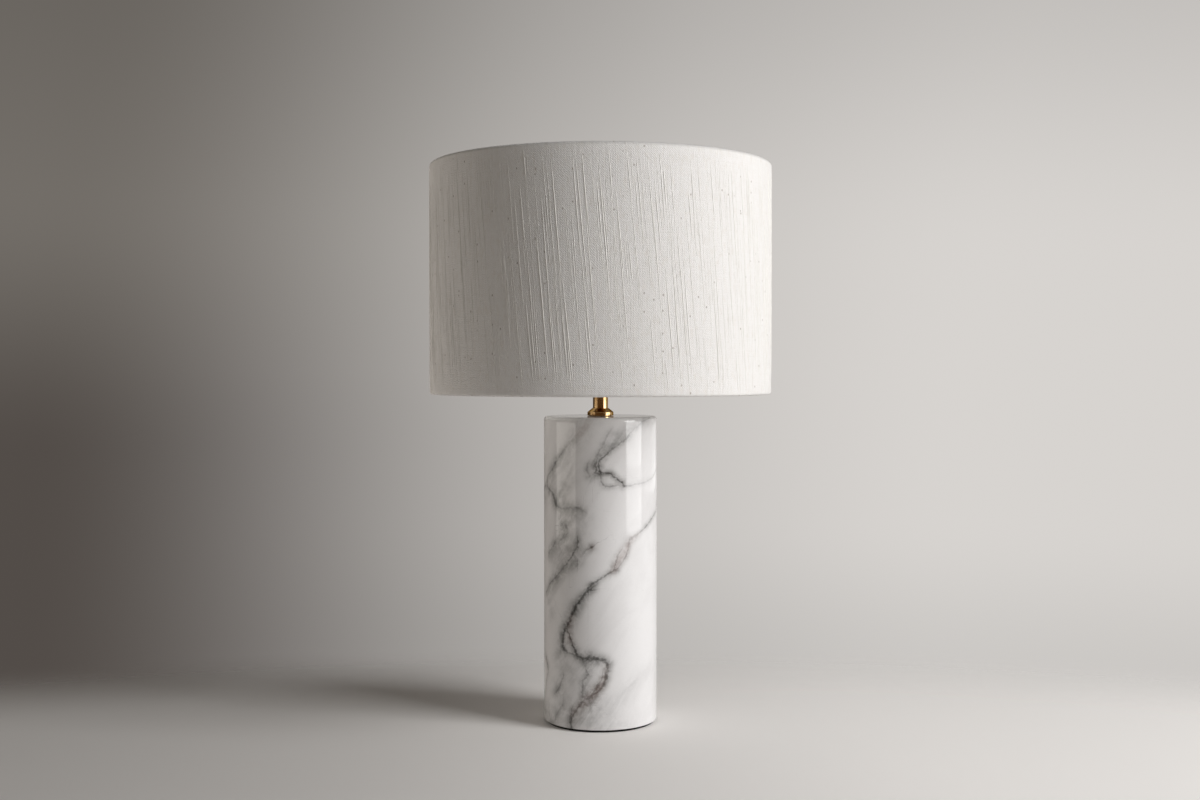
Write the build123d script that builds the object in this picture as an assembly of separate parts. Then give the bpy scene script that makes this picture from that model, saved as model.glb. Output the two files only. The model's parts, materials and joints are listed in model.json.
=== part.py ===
from build123d import *
import math
import os

# Marble table lamp. A solid marble column stands on a foot pad and carries a turned brass
# neck, a switched screw lampholder with its bulb, and a linen drum shade on a wire carrier.
# Millimetres, +Z up. The origin lies on the table, under the middle of the foot pad.
# The front faces -Y, and the cord bush is at the back, on +Y.
# Threads are plain cylinders at their outer diameter.

# Marble column
column_diameter = 100.0
column_height = 267.8
column_top_round = 3.0
column_foot_round = 0.7
recess_diameter = 56.0
recess_depth = 26.0

# Foot pad
pad_thickness = 2.2
pad_inset = 2.5
pad_edge_round = 0.4

# Cord bush in the back of the column
inlet_rise = 12.0
inlet_bore = 7.5
bush_wall = 1.4
bush_fit = 0.15
bush_flange_width = 2.2
bush_flange_thickness = 1.8
bush_flange_round = 0.4
bush_mouth_round = 0.8
bush_stand_in = 1.0

# Hollow rod through the column, and the pieces that clamp it
rod_diameter = 10.0
rod_wall = 1.0
rod_clearance = 0.5
rod_tail = 3.3
rod_engagement = 7.0
rod_chamfer = 0.4
thread_fit = 0.1
washer_margin = 4.0
washer_thickness = 3.0
lock_washer_width = 2.6
lock_washer_thickness = 2.2
lock_washer_slit = 1.5
nut_wall = 2.2
nut_height = 5.0
end_bush_fit = 0.1
end_bush_wall = 0.9
end_bush_length = 6.0
end_bush_flange_thickness = 1.2

# Brass neck
neck_height = 23.0
gasket_thickness = 0.3
gasket_inset = 1.8
collar_diameter = 23.0
collar_height = 6.5
collar_seat = 3.0
collar_rim_height = 3.1
collar_rim_round = 0.4
collar_foot_round = 0.25
collar_lip = 0.5
tube_wall = 1.15
tube_fit = 0.1

# Lampholder, sized outwards from the bulb's screw thread
bulb_thread_diameter = 26.4
socket_clearance = 0.35
socket_depth = 26.0
shell_wall = 0.4
shell_fit = 0.1
shell_setback = 1.0
insulator_wall = 3.6
insulator_fit = 0.15
insulator_setback = 1.0
floor_thickness = 6.0
barrel_wall = 1.3
barrel_rim_round = 0.5
ledge_width = 2.2
ledge_thickness = 1.5
shoulder_gap = 1.92
shoulder_width = 4.0
shoulder_thickness = 2.0
boss_wall = 3.0
boss_height = 6.0
dome_height = 8.4
dome_bend_out = 0.75
dome_bend_up = 0.3
cap_wall = 1.2
spigot_height = 5.0
spigot_fit = 0.15
lock_screw_diameter = 3.0
lock_screw_set_in = 0.4
lock_screw_gap = 0.05
lock_screw_key = 1.5
lock_screw_key_depth = 1.2

# Contacts and terminals under the socket
contact_rise = 2.4
contact_gap = 0.2
leaf_width = 6.0
leaf_thickness = 0.4
leaf_clearance = 0.6
leaf_tip_reach = 3.0
leaf_ramp = 5.0
rivet_diameter = 2.4
rivet_edge = 1.8
rivet_fit = 0.1
terminal_width = 8.0
terminal_depth = 6.5
terminal_height = 5.5
terminal_clearance = 0.3
terminal_screw_diameter = 3.0
terminal_screw_length = 3.5
terminal_head_diameter = 4.4
terminal_head_height = 1.6
terminal_slot_width = 0.7
terminal_slot_depth = 0.7

# Push-through switch, off when the bar stands out on the left
switch_room = 9.0
bar_diameter = 5.0
bar_length = 56.0
bar_offset = 3.0
bar_end_round = 1.2
bar_fit = 0.08
guide_wall = 1.0
guide_fit = 0.05
guide_stand_in = 1.0
guide_stand_out = 1.5
clip_wall = 0.6
clip_fit = 0.05
clip_length = 8.0
finger_width = 2.4
finger_thickness = 2.0
finger_gap = 0.4

# Shade and its carrier
shade_diameter = 300.0
shade_height = 200.0
fabric_thickness = 0.6
liner_thickness = 0.5
liner_fit = 0.3
liner_gap = 0.3
wire_diameter = 3.0
hem_fit = 0.3
hem_wrap = 200.0
carrier_rise = 35.1
carrier_fit = 0.6
carrier_width = 6.6
carrier_thickness = 1.6
carrier_round = 0.4
arm_count = 3
arm_first_angle = 90.0
arm_diameter = 3.2
arm_notch_gap = 0.4
weld_depth = 0.8
clamp_fit = 0.25
clamp_wall = 4.0
clamp_height = 6.0
clamp_flange_width = 2.2
clamp_flange_thickness = 1.5
clamp_round = 0.4
clamp_grips = 24
clamp_grip_radius = 1.0

# Bulb
bulb_diameter = 60.0
bulb_length = 109.0
bulb_cap_wall = 0.5
bulb_cap_shoulder = 2.6
tip_contact_diameter = 9.5
tip_contact_height = 1.6
tip_contact_round = 1.0
tip_insulator_height = 5.0
tip_insulator_rim = 1.6
tip_insulator_fit = 0.1
housing_fit = 0.1
housing_wall = 1.8
housing_flange = 0.5
housing_spigot = 5.0
housing_belly = 1.2
globe_wall = 1.2
globe_seam_inset = 4.5
globe_rim = 1.6
board_seat = 2.5
board_fit = 0.3
board_thickness = 1.6
chip_count = 9
chip_size = 2.8
chip_height = 0.7
chip_edge = 4.0

# Radii that follow from the sizes above
column_radius = column_diameter / 2
recess_radius = recess_diameter / 2
rod_radius = rod_diameter / 2
rod_hole_radius = rod_radius + rod_clearance
thread_hole_radius = rod_radius + thread_fit
bush_body_radius = inlet_bore / 2 + bush_wall
bush_hole_radius = bush_body_radius + bush_fit
bush_flange_radius = bush_body_radius + bush_flange_width
bush_spot_radius = bush_flange_radius + bush_fit
collar_radius = collar_diameter / 2
tube_radius = rod_hole_radius + tube_wall
bulb_thread_radius = bulb_thread_diameter / 2
shell_inner = bulb_thread_radius + socket_clearance
shell_outer = shell_inner + shell_wall
insulator_inner = shell_outer + shell_fit
insulator_outer = insulator_inner + insulator_wall
barrel_inner = insulator_outer + insulator_fit
barrel_radius = barrel_inner + barrel_wall
ledge_radius = barrel_inner - ledge_width
shoulder_radius = barrel_radius + shoulder_width
spigot_radius = barrel_inner - spigot_fit
boss_radius = thread_hole_radius + boss_wall
bar_radius = bar_diameter / 2
guide_radius = bar_radius + bar_fit + guide_wall
carrier_inner = barrel_radius + carrier_fit
carrier_outer = carrier_inner + carrier_width
clamp_inner = barrel_radius + clamp_fit
clamp_outer = clamp_inner + clamp_wall
clamp_flange_radius = clamp_outer + clamp_flange_width
shade_radius = shade_diameter / 2
wire_radius = wire_diameter / 2
hem_inner = wire_radius + hem_fit
hem_outer = hem_inner + fabric_thickness
ring_radius = shade_radius - hem_outer
arm_radius = arm_diameter / 2
globe_radius = bulb_diameter / 2
globe_inner = globe_radius - globe_wall
seam_radius = globe_radius - globe_seam_inset
bulb_cap_inner = bulb_thread_radius - bulb_cap_wall
tip_insulator_radius = bulb_cap_inner - bulb_cap_shoulder
housing_spigot_radius = bulb_cap_inner - housing_fit

# Heights of the seats, from the table up
column_foot = pad_thickness
column_top = column_foot + column_height
recess_top = column_foot + recess_depth
inlet_level = column_foot + inlet_rise
washer_foot = recess_top - washer_thickness
lock_washer_foot = washer_foot - lock_washer_thickness
nut_foot = lock_washer_foot - nut_height
rod_foot = nut_foot - rod_tail
collar_foot = column_top + gasket_thickness
collar_top = collar_foot + collar_height
tube_foot = collar_foot + collar_seat
holder_foot = column_top + neck_height
rod_top = holder_foot + rod_engagement
boss_top = holder_foot + boss_height
lock_screw_level = holder_foot + boss_height / 2
barrel_foot = boss_top + dome_height
spigot_top = barrel_foot + spigot_height
ledge_foot = spigot_top + switch_room
bar_level = (spigot_top + ledge_foot) / 2
floor_foot = ledge_foot + ledge_thickness
floor_top = floor_foot + floor_thickness
terminal_foot = floor_foot - terminal_height
shoulder_foot = bar_level + guide_radius + shoulder_gap
shade_seat = shoulder_foot + shoulder_thickness
carrier_top = shade_seat + carrier_thickness
bulb_foot = floor_top + contact_rise + contact_gap
barrel_top = bulb_foot + socket_depth
insulator_top = barrel_top - insulator_setback
shell_top = insulator_top - shell_setback
shade_foot = shade_seat - carrier_rise
shade_top = shade_foot + shade_height
bottom_ring_level = shade_foot + hem_outer
top_ring_level = shade_top - hem_outer
bulb_cap_top = barrel_top
tip_contact_top = bulb_foot + tip_contact_height
tip_insulator_top = tip_contact_top + tip_insulator_height
globe_centre = bulb_foot + bulb_length - globe_radius
seam_level = globe_centre - math.sqrt(globe_radius**2 - seam_radius**2)
board_foot = seam_level - board_seat

# Places along Y of the cord bush, the terminals and the contact rivets
bush_face = math.sqrt(column_radius**2 - bush_spot_radius**2)
bush_seat = bush_face - bush_flange_thickness
bush_inner_end = recess_radius - bush_stand_in
terminal_outer = math.sqrt((ledge_radius - terminal_clearance) ** 2 - (terminal_width / 2) ** 2)
terminal_inner = terminal_outer - terminal_depth
terminal_middle = (terminal_outer + terminal_inner) / 2
leaf_end = math.sqrt((shell_inner - leaf_clearance) ** 2 - (leaf_width / 2) ** 2)
rivet_place = leaf_end - rivet_edge

UPRIGHT = (Align.CENTER, Align.CENTER, Align.MIN)
TOWARDS_BACK = Rot(-90, 0, 0)
TOWARDS_RIGHT = Rot(0, 90, 0)


def turned(points, rounds=()):
    """Turn a closed outline of (radius, height) points, with some of its corners rounded."""
    face = make_face(Polyline(*points, close=True)).face()
    for radius, height, round_radius in rounds:
        corner = face.vertices().sort_by_distance((radius, height, 0))[0]
        face = face.fillet_2d(round_radius, [corner])
    return revolve(Plane.XZ * face, Axis.Z)


def post(radius, foot, top):
    """A plain round bar on the lamp's axis."""
    return Pos(0, 0, foot) * Cylinder(radius, top - foot, align=UPRIGHT)


def ring(inner, outer, foot, top):
    """A plain ring or tube on the lamp's axis."""
    return turned([(inner, foot), (outer, foot), (outer, top), (inner, top)])


def cross_bar(radius, left, right, level):
    """A plain round bar along X through the lamp's axis."""
    return Pos(left, 0, level) * TOWARDS_RIGHT * Cylinder(radius, right - left, align=UPRIGHT)


def back_bar(radius, start, end, level):
    """A plain round bar along Y, pointing to the back."""
    return Pos(0, start, level) * TOWARDS_BACK * Cylinder(radius, end - start, align=UPRIGHT)


# Column and foot

def marble_column():
    outline = [(0, column_foot), (column_radius, column_foot), (column_radius, column_top), (0, column_top)]
    rounds = [
        (column_radius, column_foot, column_foot_round),
        (column_radius, column_top, column_top_round),
    ]
    column = turned(outline, rounds)
    column -= post(recess_radius, column_foot, recess_top)
    column -= post(rod_hole_radius, recess_top, column_top)
    column -= back_bar(bush_hole_radius, 0, column_radius, inlet_level)
    column -= back_bar(bush_spot_radius, bush_seat, column_radius, inlet_level)
    return column


def foot_pad():
    radius = column_radius - pad_inset
    outline = [(0, 0), (radius, 0), (radius, pad_thickness), (0, pad_thickness)]
    return turned(outline, [(radius, 0, pad_edge_round)])


def cord_bush():
    bore = inlet_bore / 2
    outline = [
        (bore, bush_inner_end),
        (bush_body_radius, bush_inner_end),
        (bush_body_radius, bush_seat),
        (bush_flange_radius, bush_seat),
        (bush_flange_radius, bush_face),
        (bore, bush_face),
    ]
    rounds = [
        (bore, bush_inner_end, bush_mouth_round),
        (bore, bush_face, bush_mouth_round),
        (bush_flange_radius, bush_face, bush_flange_round),
    ]
    return Pos(0, 0, inlet_level) * TOWARDS_BACK * turned(outline, rounds)


# Rod and clamp pieces

def threaded_rod():
    inner = rod_radius - rod_wall
    chamfered = rod_radius - rod_chamfer
    outline = [
        (inner, rod_foot),
        (chamfered, rod_foot),
        (rod_radius, rod_foot + rod_chamfer),
        (rod_radius, rod_top - rod_chamfer),
        (chamfered, rod_top),
        (inner, rod_top),
    ]
    return turned(outline)


def clamp_washer():
    return ring(rod_hole_radius, recess_radius - washer_margin, washer_foot, recess_top)


def lock_washer():
    outer = rod_hole_radius + lock_washer_width
    washer = ring(rod_hole_radius, outer, lock_washer_foot, washer_foot)
    slit = Box(outer, lock_washer_slit, lock_washer_thickness, align=(Align.MIN, Align.CENTER, Align.MIN))
    return washer - Pos(0, 0, lock_washer_foot) * slit


def rod_nut():
    flat = thread_hole_radius + nut_wall
    corner = flat / math.cos(math.pi / 6)
    bevel = (corner - flat) * math.tan(math.pi / 6)
    nut_top = nut_foot + nut_height
    hexagon = extrude(RegularPolygon(flat, 6, major_radius=False), nut_height)
    outline = [
        (thread_hole_radius, nut_foot),
        (flat, nut_foot),
        (corner, nut_foot + bevel),
        (corner, nut_top - bevel),
        (flat, nut_top),
        (thread_hole_radius, nut_top),
    ]
    return Pos(0, 0, nut_foot) * hexagon & turned(outline)


def rod_end_bush():
    body = rod_radius - rod_wall - end_bush_fit
    bore = body - end_bush_wall
    flange_foot = rod_foot - end_bush_flange_thickness
    outline = [
        (bore, flange_foot),
        (rod_radius, flange_foot),
        (rod_radius, rod_foot),
        (body, rod_foot),
        (body, rod_foot + end_bush_length),
        (bore, rod_foot + end_bush_length),
    ]
    return turned(outline, [(bore, flange_foot, end_bush_wall / 2)])


# Brass neck

def collar_gasket():
    return ring(rod_hole_radius, collar_radius - gasket_inset, column_top, collar_foot)


def neck_collar():
    socket = tube_radius + tube_fit
    rim_top = collar_foot + collar_rim_height
    outline = [
        (rod_hole_radius, collar_foot),
        (collar_radius, collar_foot),
        (collar_radius, rim_top),
        (socket + collar_lip, collar_top),
        (socket, collar_top),
        (socket, tube_foot),
        (rod_hole_radius, tube_foot),
    ]
    rounds = [
        (collar_radius, collar_foot, collar_foot_round),
        (collar_radius, rim_top, collar_rim_round),
    ]
    return turned(outline, rounds)


def neck_tube():
    return ring(rod_hole_radius, tube_radius, tube_foot, holder_foot)


# Lampholder

def dome_curve(inner, outer, foot, top):
    """The cap's bowl, from its boss up to its rim, bent at a share of its width and height."""
    bend = (inner + dome_bend_out * (outer - inner), foot + dome_bend_up * (top - foot))
    return ThreePointArc((inner, foot), bend, (outer, top))


def lampholder_cap():
    spigot_inner = spigot_radius - cap_wall
    hollow_foot = boss_top + cap_wall
    outline = [
        Line((thread_hole_radius, hollow_foot), (thread_hole_radius, holder_foot)),
        Polyline((thread_hole_radius, holder_foot), (boss_radius, holder_foot), (boss_radius, boss_top)),
        dome_curve(boss_radius, barrel_radius, boss_top, barrel_foot),
        Polyline((barrel_radius, barrel_foot), (spigot_radius, barrel_foot), (spigot_radius, spigot_top)),
        Polyline((spigot_radius, spigot_top), (spigot_inner, spigot_top), (spigot_inner, barrel_foot)),
        dome_curve(thread_hole_radius, spigot_inner, hollow_foot, barrel_foot),
    ]
    cap = revolve(Plane.XZ * make_face(outline), Axis.Z)
    return cap - back_bar(lock_screw_diameter / 2 + thread_fit, 0, boss_radius, lock_screw_level)


def cap_lock_screw():
    start = rod_radius + lock_screw_gap
    end = boss_radius - lock_screw_set_in
    screw = back_bar(lock_screw_diameter / 2, start, end, lock_screw_level)
    key = extrude(RegularPolygon(lock_screw_key / 2, 6), lock_screw_key_depth)
    return screw - Pos(0, end - lock_screw_key_depth, lock_screw_level) * TOWARDS_BACK * key


def lampholder_barrel():
    outline = [
        (barrel_inner, barrel_foot),
        (barrel_radius, barrel_foot),
        (barrel_radius, shoulder_foot),
        (shoulder_radius, shoulder_foot),
        (shoulder_radius, shade_seat),
        (barrel_radius, shade_seat),
        (barrel_radius, barrel_top),
        (barrel_inner, barrel_top),
        (barrel_inner, floor_foot),
        (ledge_radius, floor_foot),
        (ledge_radius, ledge_foot),
        (barrel_inner, ledge_foot),
    ]
    rounds = [
        (barrel_radius, barrel_top, barrel_rim_round),
        (shoulder_radius, shoulder_foot, barrel_rim_round),
    ]
    hole = cross_bar(guide_radius + guide_fit, -shoulder_radius, shoulder_radius, bar_level)
    return turned(outline, rounds) - hole


def socket_insulator():
    outline = [
        (0, floor_foot),
        (insulator_outer, floor_foot),
        (insulator_outer, insulator_top),
        (insulator_inner, insulator_top),
        (insulator_inner, floor_top),
        (0, floor_top),
    ]
    insulator = turned(outline)
    for place in (rivet_place, -rivet_place):
        insulator -= Pos(0, place, 0) * post(rivet_diameter / 2 + rivet_fit, floor_foot, floor_top)
    return insulator


def contact_rivet(place):
    return Pos(0, place, 0) * post(rivet_diameter / 2, floor_foot, floor_top)


def screw_shell():
    tab_start = rivet_place - rivet_edge
    tab_length = shell_outer - tab_start
    tab = Box(leaf_width, tab_length, leaf_thickness, align=(Align.CENTER, Align.MAX, Align.MIN))
    tab = Pos(0, -tab_start, floor_top) * tab
    tab = tab & post((shell_inner + shell_outer) / 2, floor_top, shell_top)
    return ring(shell_inner, shell_outer, floor_top, shell_top) + tab + contact_rivet(-rivet_place)


def centre_contact():
    tip_foot = floor_top + contact_rise - leaf_thickness
    ramp_foot = rivet_place - rivet_edge
    ramp_top = ramp_foot - leaf_ramp
    side = [
        (leaf_end, floor_top),
        (ramp_foot, floor_top),
        (ramp_top, tip_foot),
        (-leaf_tip_reach, tip_foot),
        (-leaf_tip_reach, tip_foot + leaf_thickness),
        (ramp_top, tip_foot + leaf_thickness),
        (ramp_foot, floor_top + leaf_thickness),
        (leaf_end, floor_top + leaf_thickness),
    ]
    leaf = extrude(Plane.YZ * make_face(Polyline(*side, close=True)), leaf_width / 2, both=True)
    return leaf + contact_rivet(rivet_place)


def terminal_blocks():
    block = Box(terminal_width, terminal_depth, terminal_height, align=UPRIGHT)
    block -= Cylinder(terminal_screw_diameter / 2 + thread_fit, terminal_screw_length, align=UPRIGHT)
    return Compound([Pos(0, side * terminal_middle, terminal_foot) * block for side in (1, -1)])


def terminal_screws():
    head_foot = terminal_foot - terminal_head_height
    screw = post(terminal_head_diameter / 2, head_foot, terminal_foot)
    screw += post(terminal_screw_diameter / 2, terminal_foot, terminal_foot + terminal_screw_length)
    slot = Box(terminal_head_diameter, terminal_slot_width, terminal_slot_depth, align=UPRIGHT)
    screw -= Pos(0, 0, head_foot) * slot
    return Compound([Pos(0, side * terminal_middle, 0) * screw for side in (1, -1)])


# Switch

def switch_bar():
    left = -bar_offset - bar_length / 2
    bar = cross_bar(bar_radius, left, left + bar_length, bar_level)
    return fillet(bar.edges().filter_by(GeomType.CIRCLE), bar_end_round)


def switch_guides():
    start = barrel_inner - guide_stand_in
    end = barrel_radius + guide_stand_out
    guides = []
    for left, right in ((start, end), (-end, -start)):
        bush = cross_bar(guide_radius, left, right, bar_level)
        guides.append(bush - cross_bar(bar_radius + bar_fit, left, right, bar_level))
    return Compound([guide.solid() for guide in guides])


def switch_contact():
    bore = bar_radius + clip_fit
    left = -bar_offset - clip_length / 2
    sleeve = cross_bar(bore + clip_wall, left, left + clip_length, bar_level)
    reach = terminal_inner - finger_gap
    finger = Box(finger_width, reach, finger_thickness, align=(Align.CENTER, Align.MIN, Align.CENTER))
    clip = sleeve + Pos(-bar_offset, 0, bar_level) * finger
    return clip - cross_bar(bore, left, left + clip_length, bar_level)


# Shade

def arm_planes():
    """A frame on each arm's axis, its Z pointing out to the bottom ring, and the arm's length."""
    start_radius = carrier_outer - weld_depth
    start_level = carrier_top - arm_radius
    run = ring_radius - start_radius
    rise = bottom_ring_level - start_level
    length = math.hypot(run, rise) - wire_radius + weld_depth
    planes = []
    for index in range(arm_count):
        angle = math.radians(arm_first_angle + index * 360 / arm_count)
        outward = Vector(math.cos(angle), math.sin(angle), 0)
        origin = outward * start_radius + Vector(0, 0, start_level)
        planes.append(Plane(origin=origin, z_dir=outward * run + Vector(0, 0, rise)))
    return planes, length


def shade_fabric():
    outer = shade_radius
    inner = shade_radius - fabric_thickness
    low = (ring_radius, bottom_ring_level)
    high = (ring_radius, top_ring_level)
    low_outer = CenterArc(low, hem_outer, 0, -hem_wrap)
    low_inner = CenterArc(low, hem_inner, 0, -hem_wrap)
    high_outer = CenterArc(high, hem_outer, 0, hem_wrap)
    high_inner = CenterArc(high, hem_inner, 0, hem_wrap)
    outline = [
        Line((outer, bottom_ring_level), (outer, top_ring_level)),
        high_outer,
        Line(high_outer @ 1, high_inner @ 1),
        high_inner,
        Line((inner, top_ring_level), (inner, bottom_ring_level)),
        low_inner,
        Line(low_inner @ 1, low_outer @ 1),
        low_outer,
    ]
    fabric = revolve(Plane.XZ * make_face(outline), Axis.Z)
    planes, length = arm_planes()
    notch_start = length - 2 * hem_outer
    notch_end = length + arm_notch_gap
    for plane in planes:
        notch = Cylinder(arm_radius + arm_notch_gap, notch_end - notch_start, align=UPRIGHT)
        fabric -= plane * Pos(0, 0, notch_start) * notch
    return fabric


def shade_liner():
    outer = shade_radius - fabric_thickness - liner_fit
    foot = bottom_ring_level + wire_radius + liner_gap
    return ring(outer - liner_thickness, outer, foot, top_ring_level - wire_radius - liner_gap)


def shade_wire_ring(level):
    return Pos(0, 0, level) * Torus(ring_radius, wire_radius)


def shade_arms():
    planes, length = arm_planes()
    return Compound([(plane * Cylinder(arm_radius, length, align=UPRIGHT)).solid() for plane in planes])


def shade_carrier_ring():
    outline = [
        (carrier_inner, shade_seat),
        (carrier_outer, shade_seat),
        (carrier_outer, carrier_top),
        (carrier_inner, carrier_top),
    ]
    rounds = [
        (carrier_inner, shade_seat, carrier_round),
        (carrier_inner, carrier_top, carrier_round),
    ]
    return turned(outline, rounds)


def shade_clamp_ring():
    top = carrier_top + clamp_height
    flange_top = carrier_top + clamp_flange_thickness
    outline = [
        (clamp_inner, carrier_top),
        (clamp_flange_radius, carrier_top),
        (clamp_flange_radius, flange_top),
        (clamp_outer, flange_top),
        (clamp_outer, top),
        (clamp_inner, top),
    ]
    rounds = [
        (clamp_flange_radius, flange_top, clamp_round),
        (clamp_outer, top, clamp_round),
        (clamp_inner, top, clamp_round),
    ]
    clamp = turned(outline, rounds)
    groove = Cylinder(clamp_grip_radius, clamp_height, align=UPRIGHT)
    for place in PolarLocations(clamp_outer + clamp_grip_radius / 2, clamp_grips):
        clamp -= Pos(0, 0, flange_top) * place * groove
    return clamp


# Bulb

def bulb_tip_contact():
    radius = tip_contact_diameter / 2
    outline = [(0, bulb_foot), (radius, bulb_foot), (radius, tip_contact_top), (0, tip_contact_top)]
    return turned(outline, [(radius, bulb_foot, tip_contact_round)])


def bulb_tip_insulator():
    outline = [
        (0, tip_contact_top),
        (tip_contact_diameter / 2 + tip_insulator_rim, tip_contact_top),
        (tip_insulator_radius, tip_insulator_top - tip_insulator_rim),
        (tip_insulator_radius, tip_insulator_top),
        (0, tip_insulator_top),
    ]
    return turned(outline)


def bulb_screw_cap():
    lip = tip_insulator_radius + tip_insulator_fit
    lip_foot = tip_insulator_top - tip_insulator_rim
    thread_foot = lip_foot + bulb_cap_shoulder
    outline = [
        (lip, lip_foot),
        (lip + bulb_cap_wall, lip_foot),
        (bulb_thread_radius, thread_foot),
        (bulb_thread_radius, bulb_cap_top),
        (bulb_cap_inner, bulb_cap_top),
        (bulb_cap_inner, thread_foot),
    ]
    return turned(outline)


def bulb_housing():
    flange = bulb_thread_radius + housing_flange
    spigot_foot = bulb_cap_top - housing_spigot
    cup = seam_radius - globe_rim
    belly = ((flange + seam_radius) / 2 + housing_belly, (bulb_cap_top + seam_level) / 2)
    outline = [
        Line((0, spigot_foot), (housing_spigot_radius, spigot_foot)),
        Line((housing_spigot_radius, spigot_foot), (housing_spigot_radius, bulb_cap_top)),
        Line((housing_spigot_radius, bulb_cap_top), (flange, bulb_cap_top)),
        ThreePointArc((flange, bulb_cap_top), belly, (seam_radius, seam_level)),
        Polyline((seam_radius, seam_level), (cup, seam_level), (cup, board_foot), (0, board_foot)),
        Line((0, board_foot), (0, spigot_foot)),
    ]
    shell = revolve(Plane.XZ * make_face(outline), Axis.Z)
    neck = housing_spigot_radius - housing_wall
    hollow_top = board_foot - housing_wall
    hollow = [
        (0, spigot_foot),
        (neck, spigot_foot),
        (neck, bulb_cap_top + housing_wall),
        (cup - housing_wall, hollow_top),
        (0, hollow_top),
    ]
    return shell - turned(hollow)


def bulb_light_board():
    radius = seam_radius - globe_rim - board_fit
    board_top = board_foot + board_thickness
    board = post(radius, board_foot, board_top)
    chip = Box(chip_size, chip_size, chip_height, align=UPRIGHT)
    for place in PolarLocations(radius - chip_edge, chip_count):
        board += Pos(0, 0, board_top) * place * chip
    return board


def bulb_globe():
    globe = Pos(0, 0, globe_centre) * (Sphere(globe_radius) - Sphere(globe_inner))
    return globe - post(globe_radius, globe_centre - globe_radius, seam_level)


pieces = {
    "marble_column": marble_column(),
    "foot_pad": foot_pad(),
    "cord_bush": cord_bush(),
    "threaded_rod": threaded_rod(),
    "clamp_washer": clamp_washer(),
    "lock_washer": lock_washer(),
    "rod_nut": rod_nut(),
    "rod_end_bush": rod_end_bush(),
    "collar_gasket": collar_gasket(),
    "neck_collar": neck_collar(),
    "neck_tube": neck_tube(),
    "lampholder_cap": lampholder_cap(),
    "cap_lock_screw": cap_lock_screw(),
    "lampholder_barrel": lampholder_barrel(),
    "socket_insulator": socket_insulator(),
    "screw_shell": screw_shell(),
    "centre_contact": centre_contact(),
    "terminal_blocks": terminal_blocks(),
    "terminal_screws": terminal_screws(),
    "switch_bar": switch_bar(),
    "switch_guides": switch_guides(),
    "switch_contact": switch_contact(),
    "shade_fabric": shade_fabric(),
    "shade_liner": shade_liner(),
    "shade_top_ring": shade_wire_ring(top_ring_level),
    "shade_bottom_ring": shade_wire_ring(bottom_ring_level),
    "shade_arms": shade_arms(),
    "shade_carrier_ring": shade_carrier_ring(),
    "shade_clamp_ring": shade_clamp_ring(),
    "bulb_globe": bulb_globe(),
    "bulb_housing": bulb_housing(),
    "bulb_light_board": bulb_light_board(),
    "bulb_screw_cap": bulb_screw_cap(),
    "bulb_tip_insulator": bulb_tip_insulator(),
    "bulb_tip_contact": bulb_tip_contact(),
}

os.makedirs("parts", exist_ok=True)
for name, piece in pieces.items():
    export_step(piece, f"parts/{name}.step")
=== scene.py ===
import json
import math

import bmesh
import bpy
import numpy as np
from mathutils import Matrix, Vector


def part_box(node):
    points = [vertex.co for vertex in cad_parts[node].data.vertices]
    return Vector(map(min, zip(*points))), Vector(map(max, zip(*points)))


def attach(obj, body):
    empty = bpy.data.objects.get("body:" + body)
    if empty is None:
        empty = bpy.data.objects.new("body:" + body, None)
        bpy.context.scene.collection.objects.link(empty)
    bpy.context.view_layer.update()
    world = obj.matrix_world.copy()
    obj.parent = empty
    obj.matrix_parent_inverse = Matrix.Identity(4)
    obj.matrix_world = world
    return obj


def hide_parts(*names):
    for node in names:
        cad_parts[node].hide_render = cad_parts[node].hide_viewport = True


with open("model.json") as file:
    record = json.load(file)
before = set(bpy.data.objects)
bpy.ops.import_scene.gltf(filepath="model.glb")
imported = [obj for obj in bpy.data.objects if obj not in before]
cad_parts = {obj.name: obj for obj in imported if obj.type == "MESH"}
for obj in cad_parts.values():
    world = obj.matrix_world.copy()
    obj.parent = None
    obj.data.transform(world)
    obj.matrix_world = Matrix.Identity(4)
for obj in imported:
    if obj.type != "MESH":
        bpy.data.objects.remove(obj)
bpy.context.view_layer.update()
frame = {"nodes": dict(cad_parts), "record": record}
cad = frame["nodes"]

# Marble table lamp: polished column, brass neck and slub linen drum shade.
# Metres, +Z up. The front faces -Y. Turns about the axis are measured from the front, to the right.
millimetres_per_metre = 1000.0

# Camera, fitted to the photograph
photo_width = 1200
photo_height = 800
focal_length_pixels = 1441.2
sensor_width = 36.0
eye_left = 0.0004
eye_distance = 1.2757
eye_height = 0.3117
eye_tilt = math.radians(1.245)

# Marble column
column_low, column_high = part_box("marble_column")
column_radius = column_high.x
column_foot = column_low.z
column_top = column_high.z
column_top_round = 0.003
column_foot_round = 0.0007
column_row = 0.002
column_foot_row = 0.005
column_turns = 160
recess_radius = 0.028
recess_depth = 0.026
recess_top = column_foot + recess_depth
rod_hole_radius = 0.0055
bush_low, bush_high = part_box("cord_bush")
bush_flange_width = 0.0022
bush_flange_thickness = 0.0018
inlet_level = (bush_low.z + bush_high.z) / 2
inlet_fit = 0.00015
inlet_hole_radius = bush_high.x - bush_flange_width + inlet_fit
inlet_spot_radius = bush_high.x + inlet_fit
inlet_spot_seat = bush_high.y - bush_flange_thickness

# Tools that cut holes
cutter_turns = 48

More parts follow.
